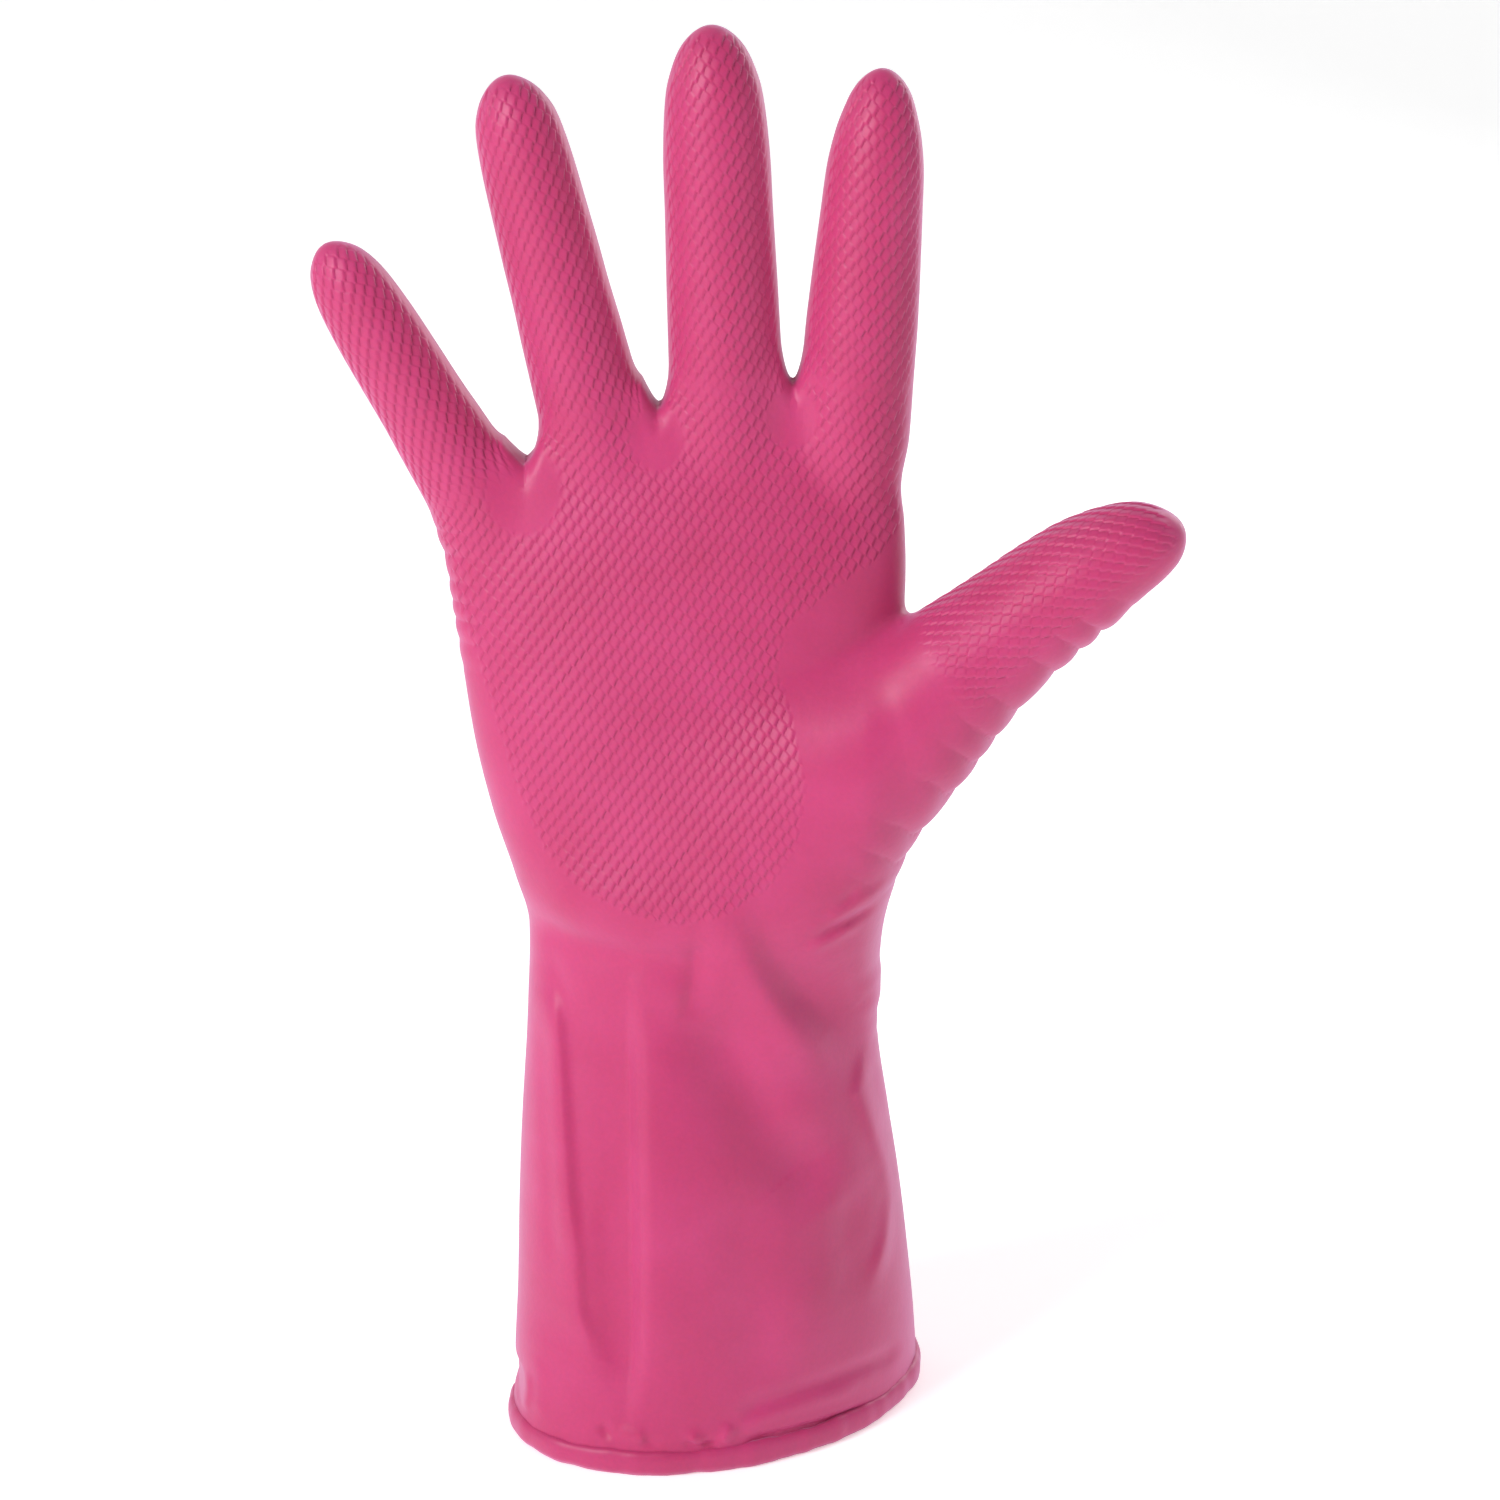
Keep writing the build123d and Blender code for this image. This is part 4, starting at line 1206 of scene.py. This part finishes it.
for name in PIECES:
    film_nodes, lining_node = replaced_nodes(name)
    film = film_piece(name)
    attach(film, name)
    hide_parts(*film_nodes)
    lining = lining_piece(name)
    attach(lining, name)
    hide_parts(lining_node)

# Rolled bead
BEAD_AROUND, BEAD_SECTION = 540, 24    # segments
BEAD_HALF_WIDTH = 1.45
BEAD_HALF_HEIGHT = 2.75
BEAD_INSET = 0.35                # of the roll's centre from the film's edge
BEAD_SQUARENESS = 0.85           # 1 is an ellipse, less is boxier


def bead_piece():
    """Follows the film's own edge, with the slight unevenness of a hand-rolled rim."""
    rim = base_points[on_rim]
    centre = rim.mean(0)
    dx, dy = rim[:, 0] - centre[0], rim[:, 1] - centre[1]
    rim_angle = np.arctan2(dy, dx)
    order = np.argsort(rim_angle)
    angle = np.linspace(-math.pi, math.pi, BEAD_AROUND, endpoint=False)
    radius = np.interp(angle, rim_angle[order], np.hypot(dx, dy)[order], period=2 * math.pi)
    # running mean over nine samples
    radius = np.convolve(np.r_[radius[-4:], radius, radius[:4]], np.ones(9) / 9, "valid")
    x, y = centre[0] + radius * np.cos(angle), centre[1] + radius * np.sin(angle)
    tangent_x, tangent_y = np.roll(x, -1) - np.roll(x, 1), np.roll(y, -1) - np.roll(y, 1)
    length = np.hypot(tangent_x, tangent_y)
    normal_x, normal_y = tangent_y / length, -tangent_x / length
    swell = (1 + 0.05 * np.sin(9 * angle + 1) + 0.035 * np.sin(23 * angle)
             + 0.02 * np.sin(51 * angle + 2))
    wobble = 0.10 * np.sin(13 * angle + 0.6) + 0.07 * np.sin(31 * angle)
    points = np.zeros((BEAD_AROUND, BEAD_SECTION, 3))
    for j in range(BEAD_SECTION):
        turn = 2 * math.pi * j / BEAD_SECTION
        # the roll's end tucks in as a fine step low on the outside
        step = 0.10 * math.exp(-((turn - 5.35) / 0.16) ** 2)
        size = swell * (1 - step)
        cosine, sine = math.cos(turn), math.sin(turn)
        out = size * BEAD_HALF_WIDTH * np.sign(cosine) * abs(cosine) ** BEAD_SQUARENESS
        up = size * BEAD_HALF_HEIGHT * np.sign(sine) * abs(sine) ** BEAD_SQUARENESS
        points[:, j, 0] = x + normal_x * (out + wobble - BEAD_INSET)
        points[:, j, 1] = y + normal_y * (out + wobble - BEAD_INSET)
        points[:, j, 2] = BEAD_HALF_HEIGHT + up
    points[..., 2] = np.maximum(points[..., 2], 0.02)    # just clear of the floor
    index = np.arange(BEAD_AROUND * BEAD_SECTION).reshape(BEAD_AROUND, BEAD_SECTION)
    ahead = np.roll(index, -1, 0)
    quads = np.stack([index, ahead, np.roll(ahead, -1, 1), np.roll(index, -1, 1)], -1)
    return make_object("cuff_rolled_bead", points.reshape(-1, 3), [quads.reshape(-1, 4)],
                       LATEX_BEAD, grip=np.full(index.size, NO_GROOVE_SHADE))


bead = bead_piece()
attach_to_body(bead, "cuff")
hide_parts("cuff_bead")

# ---------------------------------------------------------------------------
# stage, lights and camera; floor and lights are in metres
# ---------------------------------------------------------------------------
FLOOR_HALF_WIDTH = 6.0
WALL_Y = 3.2
WALL_TOP = 6.0
BEND_RADIUS = 1.4
BEND_POINTS = 24


def floor_material():
    material = bpy.data.materials.new("pale_floor")
    material.use_nodes = True
    tree = material.node_tree
    shader = tree.nodes["Principled BSDF"]
    noise = add_node(tree, "ShaderNodeTexNoise", (-600, 0), {"Scale": 6.0})
    color = add_ramp(tree, (-350, 0), noise.outputs["Fac"],
                     [(0.3, (0.90, 0.90, 0.90)), (0.7, (0.93, 0.93, 0.93))])
    tree.links.new(color, shader.inputs["Base Color"])
    for name, value in {"Roughness": 0.85, "Specular IOR Level": 0.1,
                        "Emission Color": (1, 1, 1, 1), "Emission Strength": 0.42}.items():
        shader.inputs[name].default_value = value
    return material


def make_floor():
    """Floor that curves up into a wall behind the glove."""
    material = floor_material()
    bend = [(WALL_Y - BEND_RADIUS + BEND_RADIUS * math.sin(t),
             BEND_RADIUS - BEND_RADIUS * math.cos(t))
            for t in np.linspace(0, math.pi / 2, BEND_POINTS)]
    profile = [(-FLOOR_HALF_WIDTH, 0.0)] + bend + [(WALL_Y, WALL_TOP)]
    points = [(x, y, z) for y, z in profile for x in (-FLOOR_HALF_WIDTH, FLOOR_HALF_WIDTH)]
    faces = [(2 * i, 2 * i + 1, 2 * i + 3, 2 * i + 2) for i in range(len(profile) - 1)]
    mesh = bpy.data.meshes.new("floor")
    mesh.from_pydata(points, [], faces)
    mesh.polygons.foreach_set("use_smooth", [True] * len(faces))
    mesh.materials.append(material)
    floor = bpy.data.objects.new("floor", mesh)
    bpy.context.scene.collection.objects.link(floor)


def area_light(name, location, size, watts, color=(1, 1, 1)):
    """Rectangular light aimed at the middle of the glove."""
    light = bpy.data.lights.new(name, "AREA")
    light.shape = "RECTANGLE"
    light.size, light.size_y = size
    light.energy = watts
    light.color = color
    lamp = bpy.data.objects.new(name, light)
    lamp.location = location
    aim = Vector((0, 0, 0.15)) - Vector(location)
    lamp.rotation_euler = aim.to_track_quat("-Z", "Y").to_euler()
    bpy.context.scene.collection.objects.link(lamp)


def make_world():
    """White studio: full strength to the camera, dimmer as a light."""
    world = bpy.data.worlds.new("studio")
    bpy.context.scene.world = world
    world.use_nodes = True
    tree = world.node_tree
    background = tree.nodes["Background"]
    background.inputs["Color"].default_value = (1.0, 1.0, 1.0, 1)
    path = add_node(tree, "ShaderNodeLightPath", (-600, 0))
    strength = add_node(tree, "ShaderNodeMapRange", (-300, 0), {"To Min": 0.30, "To Max": 1.0})
    tree.links.new(path.outputs["Is Camera Ray"], strength.inputs["Value"])
    tree.links.new(strength.outputs["Result"], background.inputs["Strength"])


def make_camera(tilt, distance, target, lens):
    """Camera on the palm side, looking down by `tilt` at the target."""
    data = bpy.data.cameras.new("camera")
    data.sensor_width = 36.0
    data.lens = lens
    data.clip_start, data.clip_end = 0.01, 30.0
    camera = bpy.data.objects.new("camera", data)
    forward = np.array([0, math.cos(tilt), -math.sin(tilt)])
    camera.location = Vector((np.array(target) - forward * distance) * MM)
    camera.rotation_euler = (math.radians(90) - tilt, 0, 0)
    bpy.context.scene.collection.objects.link(camera)
    bpy.context.scene.camera = camera


make_floor()
area_light("key", (-1.45, -1.25, 1.25), size=(0.8, 0.8), watts=37.0, color=(1.0, 0.985, 0.99))
area_light("fill", (1.5, -1.2, 0.7), size=(1.2, 1.2), watts=3.0, color=(0.97, 0.98, 1.0))
area_light("rim", (1.2, 1.3, 0.9), size=(0.9, 1.4), watts=14.0)
make_world()
make_camera(tilt=math.radians(16.0), distance=700.0, target=(7.0, 0.0, 150.0), lens=78.888)
bpy.context.scene.view_settings.view_transform = "Standard"

bpy.context.view_layer.update()
